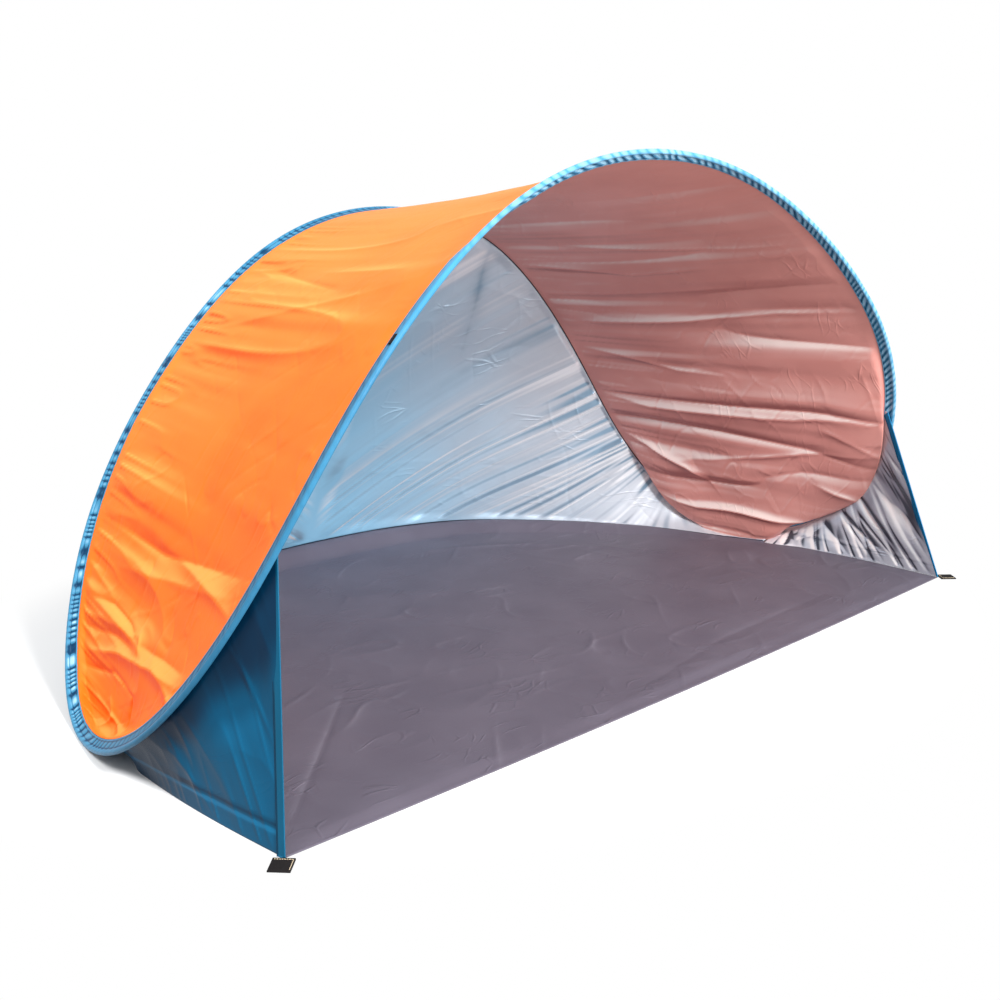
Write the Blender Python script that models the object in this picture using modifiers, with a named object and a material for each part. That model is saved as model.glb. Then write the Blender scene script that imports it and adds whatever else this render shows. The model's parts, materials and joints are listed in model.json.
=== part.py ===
"""A pop-up beach tent: a loop of spring wire, bent into a saddle, holds a roof, a rear wall and two wings.

Metres, +Z up. X runs across the tent, Y from its front edge to its back, and the ground is Z = 0.
The origin is on the ground, at the middle of the tent's length and depth.
"""

import math

import bmesh
import bpy
import numpy as np

# Driving dimensions of the loop, measured to the middle of the wire
loop_half_width = 0.934
loop_depth = 0.851
loop_rise = 0.902
fold_line_depth = 0.437

# Half of the loop from the front arch's top to the rear arch's top, as shares of half width, depth and rise
loop_half_shares = (
    (0.000, 0.137, 1.000),
    (0.398, 0.120, 0.905),
    (0.734, 0.084, 0.637),
    (0.916, 0.147, 0.329),
    (1.000, 0.368, 0.072),
    (0.945, 0.716, 0.010),
    (0.811, 0.945, 0.220),
    (0.633, 1.000, 0.511),
    (0.350, 1.000, 0.797),
    (0.000, 1.000, 0.898),
)

# Wire and the ferrule that joins its two ends
wire_diameter = 0.004
ferrule_wall = 0.0006
ferrule_length_share = 0.7
ferrule_place_share = 0.64

# Fabric thicknesses, thicker than the real cloth so that each piece is a solid
panel_thickness = 0.001
floor_thickness = 0.0012
sleeve_thickness = 0.001
binding_thickness = 0.0008

# One clearance between neighbouring pieces
clearance = 0.0003

# The cloth's lower edges stop this far above the ground
foot_lift = 0.0004

# Sleeve: a strip folded round the wire, its two edges sewn together as a flange
sleeve_play = 0.0003
flange_width = 0.020
seam_inset = 0.009

# Floor, and the seam of the rear wall as shares of its half width and of its depth behind the fold line
floor_half_width = 0.896
floor_depth = 1.165
seam_height = 0.027
seam_shares = (
    (0.00, 1.000),
    (0.16, 0.992),
    (0.30, 0.968),
    (0.45, 0.908),
    (0.57, 0.804),
    (0.69, 0.655),
    (0.77, 0.541),
    (0.85, 0.396),
    (0.91, 0.240),
    (0.975, 0.012),
)
front_edge_bow = 0.013
side_edge_bow = 0.010
seam_low_share = 0.12
rim_width = 0.080
rim_most_share = 0.75

# Wings and the binding on their front edges
wing_top_share = 0.657
wing_band_height = 0.027
wing_band_lean = 0.004
wing_band_taper_share = 0.6
binding_width = 0.012
edge_strip_width = 0.018

# Webbing tabs at the front corners, and the closing loop on the front arch
tab_width = 0.030
tab_length = 0.034
tab_thickness = 0.0024
tab_turn = math.radians(48)
closing_loop_length = 0.014
closing_loop_width = 0.009
closing_loop_thickness = 0.0016
closing_loop_share = 0.44

# Depth of the cloth's main folds and sags
roof_sag = 0.010
roof_fold_depth = 0.007
roof_fold_count = 9
roof_edge_share = 0.25
roof_top_fold_share = 0.4
roof_second_fold_share = 0.8
roof_end_billow = 0.022
roof_billow_start_share = 0.6
roof_billow_rise_share = 0.25
roof_rim_share = 0.1
wall_sag = 0.012
wall_fold_depth = 0.010
wall_fold_count = 7
wing_fold_depth = 0.005
wing_fold_count = 3

# How finely the loop and the cloth are divided
arc_steps = 28
roof_rows = 8
wall_rows = 8
wing_rows = 6
floor_rows = 6
floor_half_columns = 12
rear_floor_half_columns = 14
ferrule_sides = 12
sleeve_steps = 7
spine_share = 0.85
end_open_steps = 2
end_clear_steps = 0.1
samples_per_station = 60

SOCKET_COLOUR = "Base Color"


def smooth_curve(stations, closed):
    """The cubic spline through the stations, as a function of t; station k lies at t = k."""
    stations = np.array(stations, float)
    count = len(stations)
    weights = np.eye(count)
    for k in range(count):
        if closed or 0 < k < count - 1:
            weights[k, k] = 4 / 6
            weights[k, (k + 1) % count] = 1 / 6
            weights[k, (k - 1) % count] = 1 / 6
    control = np.linalg.solve(weights, stations)
    if closed:
        control = np.vstack([control[-1:], control, control[:2]])
    else:
        first = 2 * control[0] - control[1]
        last = 2 * control[-1] - control[-2]
        control = np.vstack([first, control, last])

    def point(t):
        k = min(int(t), len(control) - 4)
        u = t - k
        blend = ((1 - u) ** 3, 3 * u**3 - 6 * u**2 + 4, -3 * u**3 + 3 * u**2 + 3 * u + 1, u**3)
        return sum(share / 6 * place for share, place in zip(blend, control[k : k + 4]))

    return point


def unit(vector):
    return vector / np.linalg.norm(vector)


def smooth_step(value):
    value = min(max(value, 0), 1)
    return value * value * (3 - 2 * value)


# The sleeve's section follows from the wire and the ferrule that it goes round
ferrule_radius = wire_diameter / 2 + clearance + ferrule_wall
sleeve_bore = (ferrule_radius + sleeve_play) / math.cos(math.pi / (sleeve_steps + 1))
sleeve_radius = sleeve_bore + sleeve_thickness / 2
sleeve_outer_radius = sleeve_radius + sleeve_thickness / 2
layer_offset = panel_thickness / 2 + clearance + sleeve_thickness / 2
under_flange = layer_offset + sleeve_thickness / 2 + clearance + panel_thickness / 2


def loop_rails():
    """Place, inward and outward directions at even steps along the right half of the loop."""
    size = np.array([loop_half_width, loop_depth, loop_rise])
    half = np.array(loop_half_shares) * size
    mirrored = half[-2:0:-1] * np.array([-1, 1, 1])
    loop = smooth_curve(np.vstack([half, mirrored]), closed=True)
    spans = len(half) - 1
    fine = np.array([loop(t) for t in np.linspace(0, spans, spans * samples_per_station + 1)])
    fine[:, 2] += sleeve_outer_radius - fine[:, 2].min()
    lengths = np.concatenate([[0], np.linalg.norm(np.diff(fine, axis=0), axis=1).cumsum()])
    fold_length = lengths[np.argmax(fine[:, 1] >= fold_line_depth)]
    front = np.linspace(0, fold_length, arc_steps + 1)
    rear = np.linspace(fold_length, lengths[-1], arc_steps + 1)
    steps = np.concatenate([front, rear[1:]])
    places = np.column_stack([np.interp(steps, lengths, fine[:, axis]) for axis in range(3)])
    ends = np.vstack([places[1] * [-1, 1, 1], places, places[-2] * [-1, 1, 1]])
    tangents = ends[2:] - ends[:-2]
    rails = []
    for k, (place, tangent) in enumerate(zip(places, tangents)):
        along = unit(tangent)
        level = min(k, 2 * arc_steps - k, round(spine_share * arc_steps))
        spine = (places[level] + places[2 * arc_steps - level]) / 2
        inward = spine - place
        inward = unit(inward - along * inward.dot(along))
        rails.append((place, inward, np.cross(along, inward)))
    return np.array(rails)


rails = loop_rails()
last_step = 2 * arc_steps
step_length = np.linalg.norm(rails[arc_steps][0] - rails[arc_steps - 1][0])
half_gap_steps = clearance / 2 / step_length

# The two halves turn about a line across the tent, over the loop's end seams
fold_end = rails[arc_steps][0] + rails[arc_steps][1] * (flange_width + clearance)
fold_y = fold_end[1]
fold_z = fold_end[2] + layer_offset + sleeve_thickness / 2


def on_loop(k, side, inward=0.0, outward=0.0):
    """A point beside the loop: k steps from the front top, on the right (1) or the left (-1)."""
    whole = min(int(k), last_step - 1)
    part = k - whole
    place, in_way, out_way = (1 - part) * rails[whole] + part * rails[whole + 1]
    point = place + in_way * inward + out_way * outward
    return point * np.array([side, 1, 1])


def side_of(column):
    return -1 if column < 0 else 1


def collection_named(name):
    made = bpy.data.collections.new(name)
    bpy.context.scene.collection.children.link(made)
    return made


def material_named(name, colour, roughness, metallic=0.0):
    made = bpy.data.materials.new(name)
    made.use_nodes = True
    shader = made.node_tree.nodes["Principled BSDF"]
    shader.inputs[SOCKET_COLOUR].default_value = (*colour, 1)
    shader.inputs["Roughness"].default_value = roughness
    shader.inputs["Metallic"].default_value = metallic
    made.diffuse_color = (*colour, 1)
    return made


def frame_shift():
    """Puts the origin at the middle of the depth, from the tabs' front corners to the wall's foot."""
    reach = tab_root_gap() + tab_length
    front = -reach * math.cos(tab_turn) - tab_width / 2 * math.sin(tab_turn)
    rear = floor_depth + panel_thickness / 2
    return np.array([0, -(front + rear) / 2, 0])


def tab_root_gap():
    """From the floor's corner to the tab's root, clear of the binding's foot."""
    beside = panel_thickness / 2 + clearance + binding_thickness
    before = clearance + binding_thickness
    return math.sin(tab_turn) * beside + math.cos(tab_turn) * before + clearance


def finish_object(item, material, smooth=True):
    item.data.materials.clear()
    item.data.materials.append(material)
    if smooth:
        item.data.shade_smooth()
        item.data.set_sharp_from_angle(angle=math.radians(40))
    return item


def hang_on(item, carrier):
    """Parents a piece to an empty and keeps its place in the world."""
    item.parent = carrier
    item.matrix_parent_inverse = carrier.matrix_world.inverted()


def sheet(name, grid, thickness, material, carrier, belt=None):
    """A cloth panel: a surface through a grid of points, made solid. A belt is one more row round it."""
    shape = bmesh.new()
    shift = frame_shift()
    corners = [[shape.verts.new(point + shift) for point in row] for row in grid]
    for row, following in zip(corners, corners[1:]):
        for i in range(len(row) - 1):
            shape.faces.new((row[i], row[i + 1], following[i + 1], following[i]))
    if belt is not None:
        rows, columns = len(grid), len(grid[0])
        round_trip = [(0, i) for i in range(columns - 1)] + [(j, columns - 1) for j in range(rows - 1)]
        round_trip += [(rows - 1, i) for i in range(columns - 1, 0, -1)]
        round_trip += [(j, 0) for j in range(rows - 1, 0, -1)]
        outer = [shape.verts.new(belt(j, i) + shift) for j, i in round_trip]
        for n, (j, i) in enumerate(round_trip):
            following = (n + 1) % len(round_trip)
            next_j, next_i = round_trip[following]
            shape.faces.new((outer[n], outer[following], corners[next_j][next_i], corners[j][i]))
    data = bpy.data.meshes.new(name)
    shape.to_mesh(data)
    shape.free()
    item = bpy.data.objects.new(name, data)
    tent.objects.link(item)
    thick = item.modifiers.new("cloth", "SOLIDIFY")
    thick.thickness = thickness
    thick.offset = 0
    thick.use_even_offset = True
    finish_object(item, material)
    hang_on(item, carrier)
    return item


def rod(name, points, radius, material, carrier):
    """A piece of wire through the points."""
    data = bpy.data.curves.new(name, "CURVE")
    data.dimensions = "3D"
    data.bevel_depth = radius
    data.bevel_resolution = 1
    data.use_fill_caps = True
    spline = data.splines.new("POLY")
    spline.points.add(len(points) - 1)
    for target, point in zip(spline.points, points):
        target.co = (*(point + frame_shift()), 1)
    item = bpy.data.objects.new(name, data)
    tent.objects.link(item)
    data.materials.append(material)
    hang_on(item, carrier)
    return item


def wire_pieces(steel, front_shell, rear_shell):
    """Front and rear halves of the spring wire; the rear half's two ends meet inside the ferrule."""
    front = [on_loop(arc_steps - half_gap_steps, -1)]
    front += [on_loop(abs(c), side_of(c)) for c in range(1 - arc_steps, arc_steps)]
    front += [on_loop(arc_steps - half_gap_steps, 1)]
    rod("front_wire", front, wire_diameter / 2, steel, front_shell)

    joint = round(ferrule_place_share * arc_steps)
    middle = last_step - joint - 0.5
    long_end = middle + half_gap_steps
    tail_end = middle - half_gap_steps
    long_piece = [on_loop(arc_steps + half_gap_steps, -1)]
    long_piece += [on_loop(last_step - abs(c), side_of(c)) for c in range(1 - arc_steps, joint + 1)]
    long_piece += [on_loop(long_end, 1)]
    rod("rear_wire_long", long_piece, wire_diameter / 2, steel, rear_shell)
    tail = [on_loop(tail_end, 1)]
    tail += [on_loop(last_step - c, 1) for c in range(joint + 1, arc_steps)]
    tail += [on_loop(arc_steps + half_gap_steps, 1)]
    rod("rear_wire_tail", tail, wire_diameter / 2, steel, rear_shell)
    return middle


def ferrule(middle, steel, rear_shell):
    """A short straight tube over both wire ends."""
    half = ferrule_length_share / 2
    ends = [on_loop(middle + half, 1), on_loop(middle - half, 1)]
    along = unit(ends[1] - ends[0])
    side_way = unit(np.cross(along, [0, 0, 1]))
    up_way = np.cross(side_way, along)
    mid_radius = ferrule_radius - ferrule_wall / 2
    grid = []
    for end in ends:
        turns = [2 * math.pi * n / ferrule_sides for n in range(ferrule_sides)]
        grid.append([end + mid_radius * (side_way * math.cos(a) + up_way * math.sin(a)) for a in turns])
    shape = bmesh.new()
    shift = frame_shift()
    rings = [[shape.verts.new(point + shift) for point in row] for row in grid]
    for n in range(ferrule_sides):
        following = (n + 1) % ferrule_sides
        shape.faces.new((rings[0][n], rings[0][following], rings[1][following], rings[1][n]))
    data = bpy.data.meshes.new("wire_ferrule")
    shape.to_mesh(data)
    shape.free()
    item = bpy.data.objects.new("wire_ferrule", data)
    tent.objects.link(item)
    wall = item.modifiers.new("wall", "SOLIDIFY")
    wall.thickness = ferrule_wall
    wall.offset = 0
    finish_object(item, steel)
    hang_on(item, rear_shell)


def sleeve_section():
    """Inward and outward offsets of the folded strip, from one flange edge round the wire to the other."""
    start = math.asin(layer_offset / sleeve_radius)
    turns = [start + (2 * math.pi - 2 * start) * n / sleeve_steps for n in range(sleeve_steps + 1)]
    bend = [(sleeve_radius * math.cos(a), sleeve_radius * math.sin(a)) for a in turns]
    return [(flange_width, layer_offset), *bend, (flange_width, -layer_offset)]


def sleeves(cloth, front_shell, rear_shell):
    section = sleeve_section()
    for name, ahead, carrier in (("front_sleeve", -1, front_shell), ("rear_sleeve", 1, rear_shell)):
        start = arc_steps + ahead * half_gap_steps
        stations = [(start, -1)]
        for c in range(1 - arc_steps, arc_steps):
            stations.append((abs(c) if ahead < 0 else last_step - abs(c), side_of(c)))
        stations.append((start, 1))
        grid = [[on_loop(k, side, a, b) for a, b in section] for k, side in stations]
        sheet(name, grid, sleeve_thickness, cloth, carrier)


def roof_panel(cloth, rear_shell):
    """The panel sewn into the loop, straight from arch to arch, with long folds and a billow at each end."""
    widest = arc_steps - end_open_steps
    columns = list(range(-widest, widest + 1))
    edge = flange_width + seam_inset * roof_edge_share

    def end_step(j):
        return widest + 2 * end_open_steps * j / roof_rows

    def border_step(j, column):
        if j == 0:
            return abs(column)
        return last_step - abs(column) if j == roof_rows else end_step(j)

    def interior(j, column):
        share = j / roof_rows
        side = side_of(column)
        front = on_loop(abs(column), side, edge)
        rear = on_loop(last_step - abs(column), side, edge)
        point = (1 - share) * front + share * rear
        high = smooth_step((abs(column) / widest - spine_share / 2) / (1 - spine_share / 2))
        if high > 0:
            first = on_loop(widest, side, edge)
            final = on_loop(last_step - widest, side, edge)
            end = on_loop(end_step(j), side, edge)
            point = point + high**2 * (end - (1 - share) * first - share * final)
        out_way = unit(on_loop(abs(column), side, 0, 1) - on_loop(abs(column), side))
        window = math.sin(math.pi * share)
        reach = column / widest
        rim = 1 - smooth_step((abs(reach) - 1 + roof_rim_share) / roof_rim_share)
        folds = roof_fold_count * reach
        wave = math.sin(2 * math.pi * (folds / 2 + share / 3))
        wave += math.sin(2 * math.pi * (folds * roof_second_fold_share - share / 2) + 1) / 2
        depth = roof_fold_depth * (roof_top_fold_share + (1 - roof_top_fold_share) * reach**2) * wave
        risen = smooth_step((abs(reach) - roof_billow_start_share) / roof_billow_rise_share)
        billow = roof_end_billow * risen
        return point + out_way * window * rim * (depth - roof_sag + billow)

    grid = [[interior(j, column) for column in columns] for j in range(roof_rows + 1)]

    def belt(j, i):
        return on_loop(border_step(j, columns[i]), side_of(columns[i]), flange_width - seam_inset)

    sheet("roof_panel", grid, panel_thickness, cloth, rear_shell, belt)


def seam_curve():
    span = np.array([floor_half_width, floor_depth - fold_y])
    stations = [np.array(shares) * span for shares in seam_shares]
    return smooth_curve(stations, closed=False)


def seam_point(share, side):
    """The seam between rear wall and floor, from the middle of the back (0) to the loop's end (1)."""
    across, back = seam_curve()(share * (len(seam_shares) - 1))
    fall = max(math.sqrt(1 - smooth_step(share)), seam_low_share)
    height = floor_thickness / 2 + (seam_height - floor_thickness / 2) * fall
    return np.array([side * across, fold_y + back, height])


def rear_wall(cloth, rear_shell):
    """The sloping back: its top edge is sewn under the rear sleeve's flange, its foot to the floor."""
    widest = arc_steps - end_clear_steps
    columns = [-widest, *range(1 - arc_steps, arc_steps), widest]
    grid = []
    turn_in = flange_width - seam_inset
    tops = ((flange_width, under_flange), (turn_in, under_flange))
    for inward, drop in tops:
        grid.append([on_loop(last_step - abs(c), side_of(c), inward, -drop) for c in columns])
    lift = np.array([0, 0, floor_thickness / 2 + clearance + panel_thickness / 2])
    for j in range(1, wall_rows + 1):
        share = j / wall_rows
        row = []
        for c in columns:
            side = side_of(c)
            top = on_loop(last_step - abs(c), side, turn_in, -under_flange)
            foot = seam_point(abs(c) / widest, side) + lift
            point = (1 - share) * top + share * foot
            along = foot - top
            sideways = on_loop(last_step - abs(c) - 1, side) - on_loop(last_step - abs(c), side)
            out_way = unit(np.cross(along, sideways)) * side
            out_way = out_way * (1 if out_way[1] > 0 else -1)
            reach = c / widest
            window = math.sin(math.pi * share)
            wave = math.sin(2 * math.pi * (wall_fold_count * reach / 2 + share * (1 - reach) / 2))
            depth = wall_fold_depth * wave * (1 - reach**4) - wall_sag * (1 - reach**2)
            row.append(point + out_way * window * depth)
        grid.append(row)
    sheet("rear_wall", grid, panel_thickness, cloth, rear_shell)


def foot_line(y):
    """Distance of the wing's foot from the middle of the tent, at a depth y."""
    share = min(max(y / fold_y, 0), 1)
    return floor_half_width + side_edge_bow * math.sin(math.pi * share)


def wing_grid(side):
    top_step = wing_top_share * arc_steps
    end_step = arc_steps - end_clear_steps
    foot_end = on_loop(end_step, 1)[1]
    strip_steps = edge_strip_width / step_length
    steps = [top_step, top_step + strip_steps]
    steps += [k / 2 for k in range(2 * math.ceil(top_step + 2 * strip_steps), 2 * arc_steps)]
    steps += [end_step]
    grid = []
    for k in steps:
        share = (k - top_step) / (end_step - top_step)
        y = foot_end * share
        x = foot_line(y)
        foot = np.array([x * side, y, foot_lift])
        band = wing_band_height * (1 - wing_band_taper_share * share)
        band_top = np.array([(x - wing_band_lean) * side, y, band])
        sewn = on_loop(k, side, flange_width - clearance, -under_flange)
        turn = on_loop(k, side, flange_width - seam_inset, -under_flange - sleeve_outer_radius / 2)
        if k == top_step:
            band_top = turn + (foot - turn) * (turn[2] - wing_band_height) / (turn[2] - foot_lift)
        column = [sewn, turn]
        for j in range(1, wing_rows + 1):
            down = j / wing_rows
            point = (1 - down) * turn + down * band_top
            swell = math.sin(math.pi * down) * math.sin(math.pi * share)
            fold = math.sin(2 * math.pi * wing_fold_count * share) * wing_fold_depth
            point = point + np.array([side, 0, 0]) * swell * fold
            column.append(point)
        column.append(foot)
        grid.append(column)
    flatten_front_strip(grid)
    return grid


def flatten_front_strip(grid):
    """Keeps the wing flat beside its straight front edge, where the binding is sewn on."""
    edge, beyond = (np.array(column[2:]) for column in (grid[0], grid[2]))
    down = unit(edge[-1] - edge[0])
    inward = (beyond - edge).mean(axis=0)
    inward = unit(inward - down * inward.dot(down))
    for n, point in enumerate(edge):
        grid[1][n + 2] = point + inward * edge_strip_width
    grid[1][-1] = lowered(grid[1][-1], down)


def lowered(point, down):
    """The point moved along a line until it is just above the ground."""
    return point + down * (foot_lift - point[2]) / down[2]


def wings_and_bindings(cloth, trim, front_shell):
    for word, side in (("left", -1), ("right", 1)):
        grid = wing_grid(side)
        sheet(f"{word}_wing", grid, panel_thickness, cloth, front_shell)
        layer = panel_thickness / 2 + clearance + binding_thickness / 2
        edge_reach = clearance + binding_thickness / 2
        down = unit(grid[0][-1] - grid[0][1])
        inward = unit(grid[1][2] - grid[0][2])
        across = np.cross(down, inward)
        section = (
            inward * binding_width + across * layer,
            across * layer - inward * edge_reach,
            -across * layer - inward * edge_reach,
            inward * binding_width - across * layer,
        )
        rows = [[point + reach for reach in section] for point in grid[0][2:]]
        rows[-1] = [lowered(point, down) for point in rows[-1]]
        sheet(f"{word}_front_binding", rows, binding_thickness, trim, front_shell)


def floor_side(y):
    """Half the floor's width at a depth y, clear of the wings and of their bindings."""
    return foot_line(y) - panel_thickness / 2 - 2 * clearance - binding_thickness


def floors(cloth, front_shell, rear_shell):
    level = floor_thickness / 2
    grid = []
    for j in range(floor_rows + 1):
        share = j / floor_rows
        row = []
        for i in range(-floor_half_columns, floor_half_columns + 1):
            reach = i / floor_half_columns
            y = (fold_y - clearance / 2) * share
            x = floor_side(y) * reach
            y -= front_edge_bow * (1 - reach**2) * (1 - share)
            row.append(np.array([x, y, level]))
        grid.append(row)
    sheet("front_floor", grid, floor_thickness, cloth, front_shell)

    grid = []
    seam_steps = rear_floor_half_columns
    corner = seam_point(1, 1)[0]
    for j in range(floor_rows + 1):
        share = j / floor_rows
        row = []
        for i in range(-seam_steps, seam_steps + 1):
            side = side_of(i)
            edge = seam_point(abs(i) / seam_steps, side)
            start = np.array([corner * i / seam_steps, fold_y + clearance / 2, level])
            point = (1 - share) * start + share * edge
            rim_share = min(rim_most_share, rim_width / (edge[1] - start[1]))
            rim = smooth_step((share - 1 + rim_share) / rim_share)
            point[2] = level + (edge[2] - level) * rim
            row.append(point)
        grid.append(row)
    sheet("rear_floor", grid, floor_thickness, cloth, rear_shell)


def webbing_tabs(webbing, front_shell):
    """A flat double layer of webbing at each front corner, hinged on its root edge."""
    for word, side in (("left", -1), ("right", 1)):
        way = np.array([side * math.sin(tab_turn), -math.cos(tab_turn), 0])
        across = np.array([-way[1], way[0], 0])
        corner = np.array([side * floor_half_width, 0, 0])
        root = corner + way * tab_root_gap() + frame_shift()
        hinge = bpy.data.objects.new(f"{word}_tab_hinge", None)
        tent.objects.link(hinge)
        hinge.location = root + np.array([0, 0, tab_thickness])
        bpy.context.view_layer.update()
        hang_on(hinge, front_shell)
        outline = bpy.data.curves.new(f"{word}_corner_tab", "CURVE")
        outline.dimensions = "2D"
        outline.fill_mode = "BOTH"
        outline.extrude = tab_thickness / 2
        spline = outline.splines.new("POLY")
        spline.points.add(3)
        half = across * tab_width / 2
        places = (root - half, root + half, root + half + way * tab_length, root - half + way * tab_length)
        for target, place in zip(spline.points, places):
            target.co = (place[0], place[1], 0, 1)
        spline.use_cyclic_u = True
        item = bpy.data.objects.new(f"{word}_corner_tab", outline)
        item.location.z = tab_thickness / 2
        tent.objects.link(item)
        outline.materials.append(webbing)
        bpy.context.view_layer.update()
        hang_on(item, hinge)
        print(word, "tab hinge at", np.array(hinge.matrix_world.translation).round(5))
        print(word, "tab hinge axis", across.round(5))


def closing_loop(webbing, front_shell):
    """A small flat loop of webbing sewn on the outer side of the front sleeve, on the left."""
    k = round(closing_loop_share * arc_steps) + 0.5
    height = layer_offset + sleeve_thickness / 2 + clearance + closing_loop_thickness / 2
    inset = sleeve_outer_radius + clearance + closing_loop_width / 2
    centre = on_loop(k, -1, inset, height) + frame_shift()
    along = unit(on_loop(math.ceil(k), -1) - on_loop(math.floor(k), -1))
    inward = unit(on_loop(k, -1, 1) - on_loop(k, -1))
    up_way = unit(np.cross(along, inward))
    inward = np.cross(up_way, along)
    turned = np.column_stack([along, inward, up_way])
    shape = bmesh.new()
    bmesh.ops.create_cube(shape, size=1)
    sizes = np.array([closing_loop_length, closing_loop_width, closing_loop_thickness])
    for vert in shape.verts:
        vert.co = centre + turned @ (np.array(vert.co) * sizes)
    data = bpy.data.meshes.new("closing_loop")
    shape.to_mesh(data)
    shape.free()
    item = bpy.data.objects.new("closing_loop", data)
    tent.objects.link(item)
    finish_object(item, webbing, smooth=False)
    hang_on(item, front_shell)


for old in list(bpy.data.objects):
    bpy.data.objects.remove(old, do_unlink=True)
tent = collection_named("pop_up_beach_tent")

rear_shell = bpy.data.objects.new("rear_shell", None)
front_shell = bpy.data.objects.new("front_shell", None)
for carrier in (rear_shell, front_shell):
    tent.objects.link(carrier)
front_shell.location = (0, fold_y + frame_shift()[1], fold_z)
bpy.context.view_layer.update()
hang_on(front_shell, rear_shell)
bpy.context.view_layer.update()

steel = material_named("spring_steel", (0.45, 0.46, 0.48), 0.35, 1.0)
orange = material_named("orange_cloth", (1.0, 0.30, 0.05), 0.55)
blue = material_named("blue_cloth", (0.01, 0.20, 0.38), 0.5)
pale_blue = material_named("pale_blue_cloth", (0.06, 0.21, 0.42), 0.6)
grey = material_named("grey_cloth", (0.15, 0.14, 0.17), 0.6)
black = material_named("black_webbing", (0.01, 0.009, 0.009), 0.8)

wire_middle = wire_pieces(steel, front_shell, rear_shell)
ferrule(wire_middle, steel, rear_shell)
sleeves(pale_blue, front_shell, rear_shell)
roof_panel(orange, rear_shell)
rear_wall(blue, rear_shell)
wings_and_bindings(blue, pale_blue, front_shell)
floors(grey, front_shell, rear_shell)
webbing_tabs(black, front_shell)
closing_loop(black, front_shell)
print("fold line at", np.array(front_shell.matrix_world.translation).round(5))
print("frame shift", frame_shift()[1])
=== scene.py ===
# %% [markdown]
# # A pop-up beach tent
# A shelter of this kind is one closed loop of spring wire, sewn into a sleeve and bent into a saddle: one
# half stands up as the front arch, the other as the rear arch. A roof is stretched between the arches, a
# wall slopes from the rear arch down to a sewn-in floor, and two small wings close the ends. This file
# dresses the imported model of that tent: it makes the cloth, the tapes, the webbing and the thread, and
# lights them softly.

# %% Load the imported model
import json
import math

import bpy
import numpy as np
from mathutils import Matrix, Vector


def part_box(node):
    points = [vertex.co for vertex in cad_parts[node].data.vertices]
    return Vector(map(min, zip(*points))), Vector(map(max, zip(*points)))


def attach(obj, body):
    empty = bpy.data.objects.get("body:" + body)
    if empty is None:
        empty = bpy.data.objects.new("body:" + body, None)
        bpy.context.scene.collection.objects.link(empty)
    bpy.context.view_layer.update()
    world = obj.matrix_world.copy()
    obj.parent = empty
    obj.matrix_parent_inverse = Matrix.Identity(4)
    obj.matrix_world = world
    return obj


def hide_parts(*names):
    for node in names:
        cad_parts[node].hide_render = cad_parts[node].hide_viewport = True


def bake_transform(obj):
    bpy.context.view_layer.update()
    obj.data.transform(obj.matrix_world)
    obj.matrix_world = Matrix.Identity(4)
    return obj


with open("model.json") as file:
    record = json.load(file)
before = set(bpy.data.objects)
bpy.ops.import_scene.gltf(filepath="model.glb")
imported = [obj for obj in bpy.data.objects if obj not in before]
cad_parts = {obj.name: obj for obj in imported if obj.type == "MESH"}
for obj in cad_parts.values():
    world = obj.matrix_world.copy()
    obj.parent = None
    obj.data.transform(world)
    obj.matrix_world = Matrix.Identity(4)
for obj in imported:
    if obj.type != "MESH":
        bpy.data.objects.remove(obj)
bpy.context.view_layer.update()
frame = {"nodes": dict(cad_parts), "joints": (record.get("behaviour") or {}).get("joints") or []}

MM = 0.001
print("pieces in the frame:", sorted(frame["nodes"]))

# %% [markdown]
# ## Camera
# The picture was taken from the left front corner, at about eye height of someone who kneels. A long side
# of the floor runs to a vanishing point on the right, and from that point and the two arches the place of
# the camera follows. A 45 mm lens on a 36 mm sensor gives the same perspective.

# %% Set up the camera
camera_place = Vector((-1.7302, -1.7971, 0.8127))
camera_aim = Vector((0.6866, 0.6909, -0.226))
lens = bpy.data.cameras.new("camera")
lens.sensor_width = 36
lens.lens = 45
camera = bpy.data.objects.new("camera", lens)
camera.location = camera_place
camera.rotation_euler = camera_aim.to_track_quat("-Z", "Y").to_euler()
bpy.context.scene.collection.objects.link(camera)
bpy.context.scene.camera = camera
bpy.context.scene.view_settings.view_transform = "Standard"
print("camera at", tuple(camera_place), "with a lens of", lens.lens, "mm")

# %% [markdown]
# ## Shader maths
# A finish is a small network of nodes. Wired by hand, even one multiplication takes four lines, so a
# socket is wrapped in a class whose operators add the Math nodes: `1 - mask` or `grain * 0.2` then read
# as written. Every other node comes from one method, which takes the node's type, its settings and what
# its sockets are fed with.


# %% Wrap sockets, so that arithmetic adds nodes
class Value:
    """An output socket of a finish."""

    def __init__(self, finish, socket):
        self.finish = finish
        self.socket = socket

    def math(self, operation, *operands):
        sockets = dict(enumerate(operands))
        return self.finish.node("ShaderNodeMath", {"operation": operation}, sockets)

    def __add__(self, other):
        return self.math("ADD", self, other)

    def __radd__(self, other):
        return self.math("ADD", other, self)

    def __sub__(self, other):
        return self.math("SUBTRACT", self, other)

    def __rsub__(self, other):
        return self.math("SUBTRACT", other, self)

    def __mul__(self, other):
        return self.math("MULTIPLY", self, other)

    def __rmul__(self, other):
        return self.math("MULTIPLY", other, self)


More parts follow.
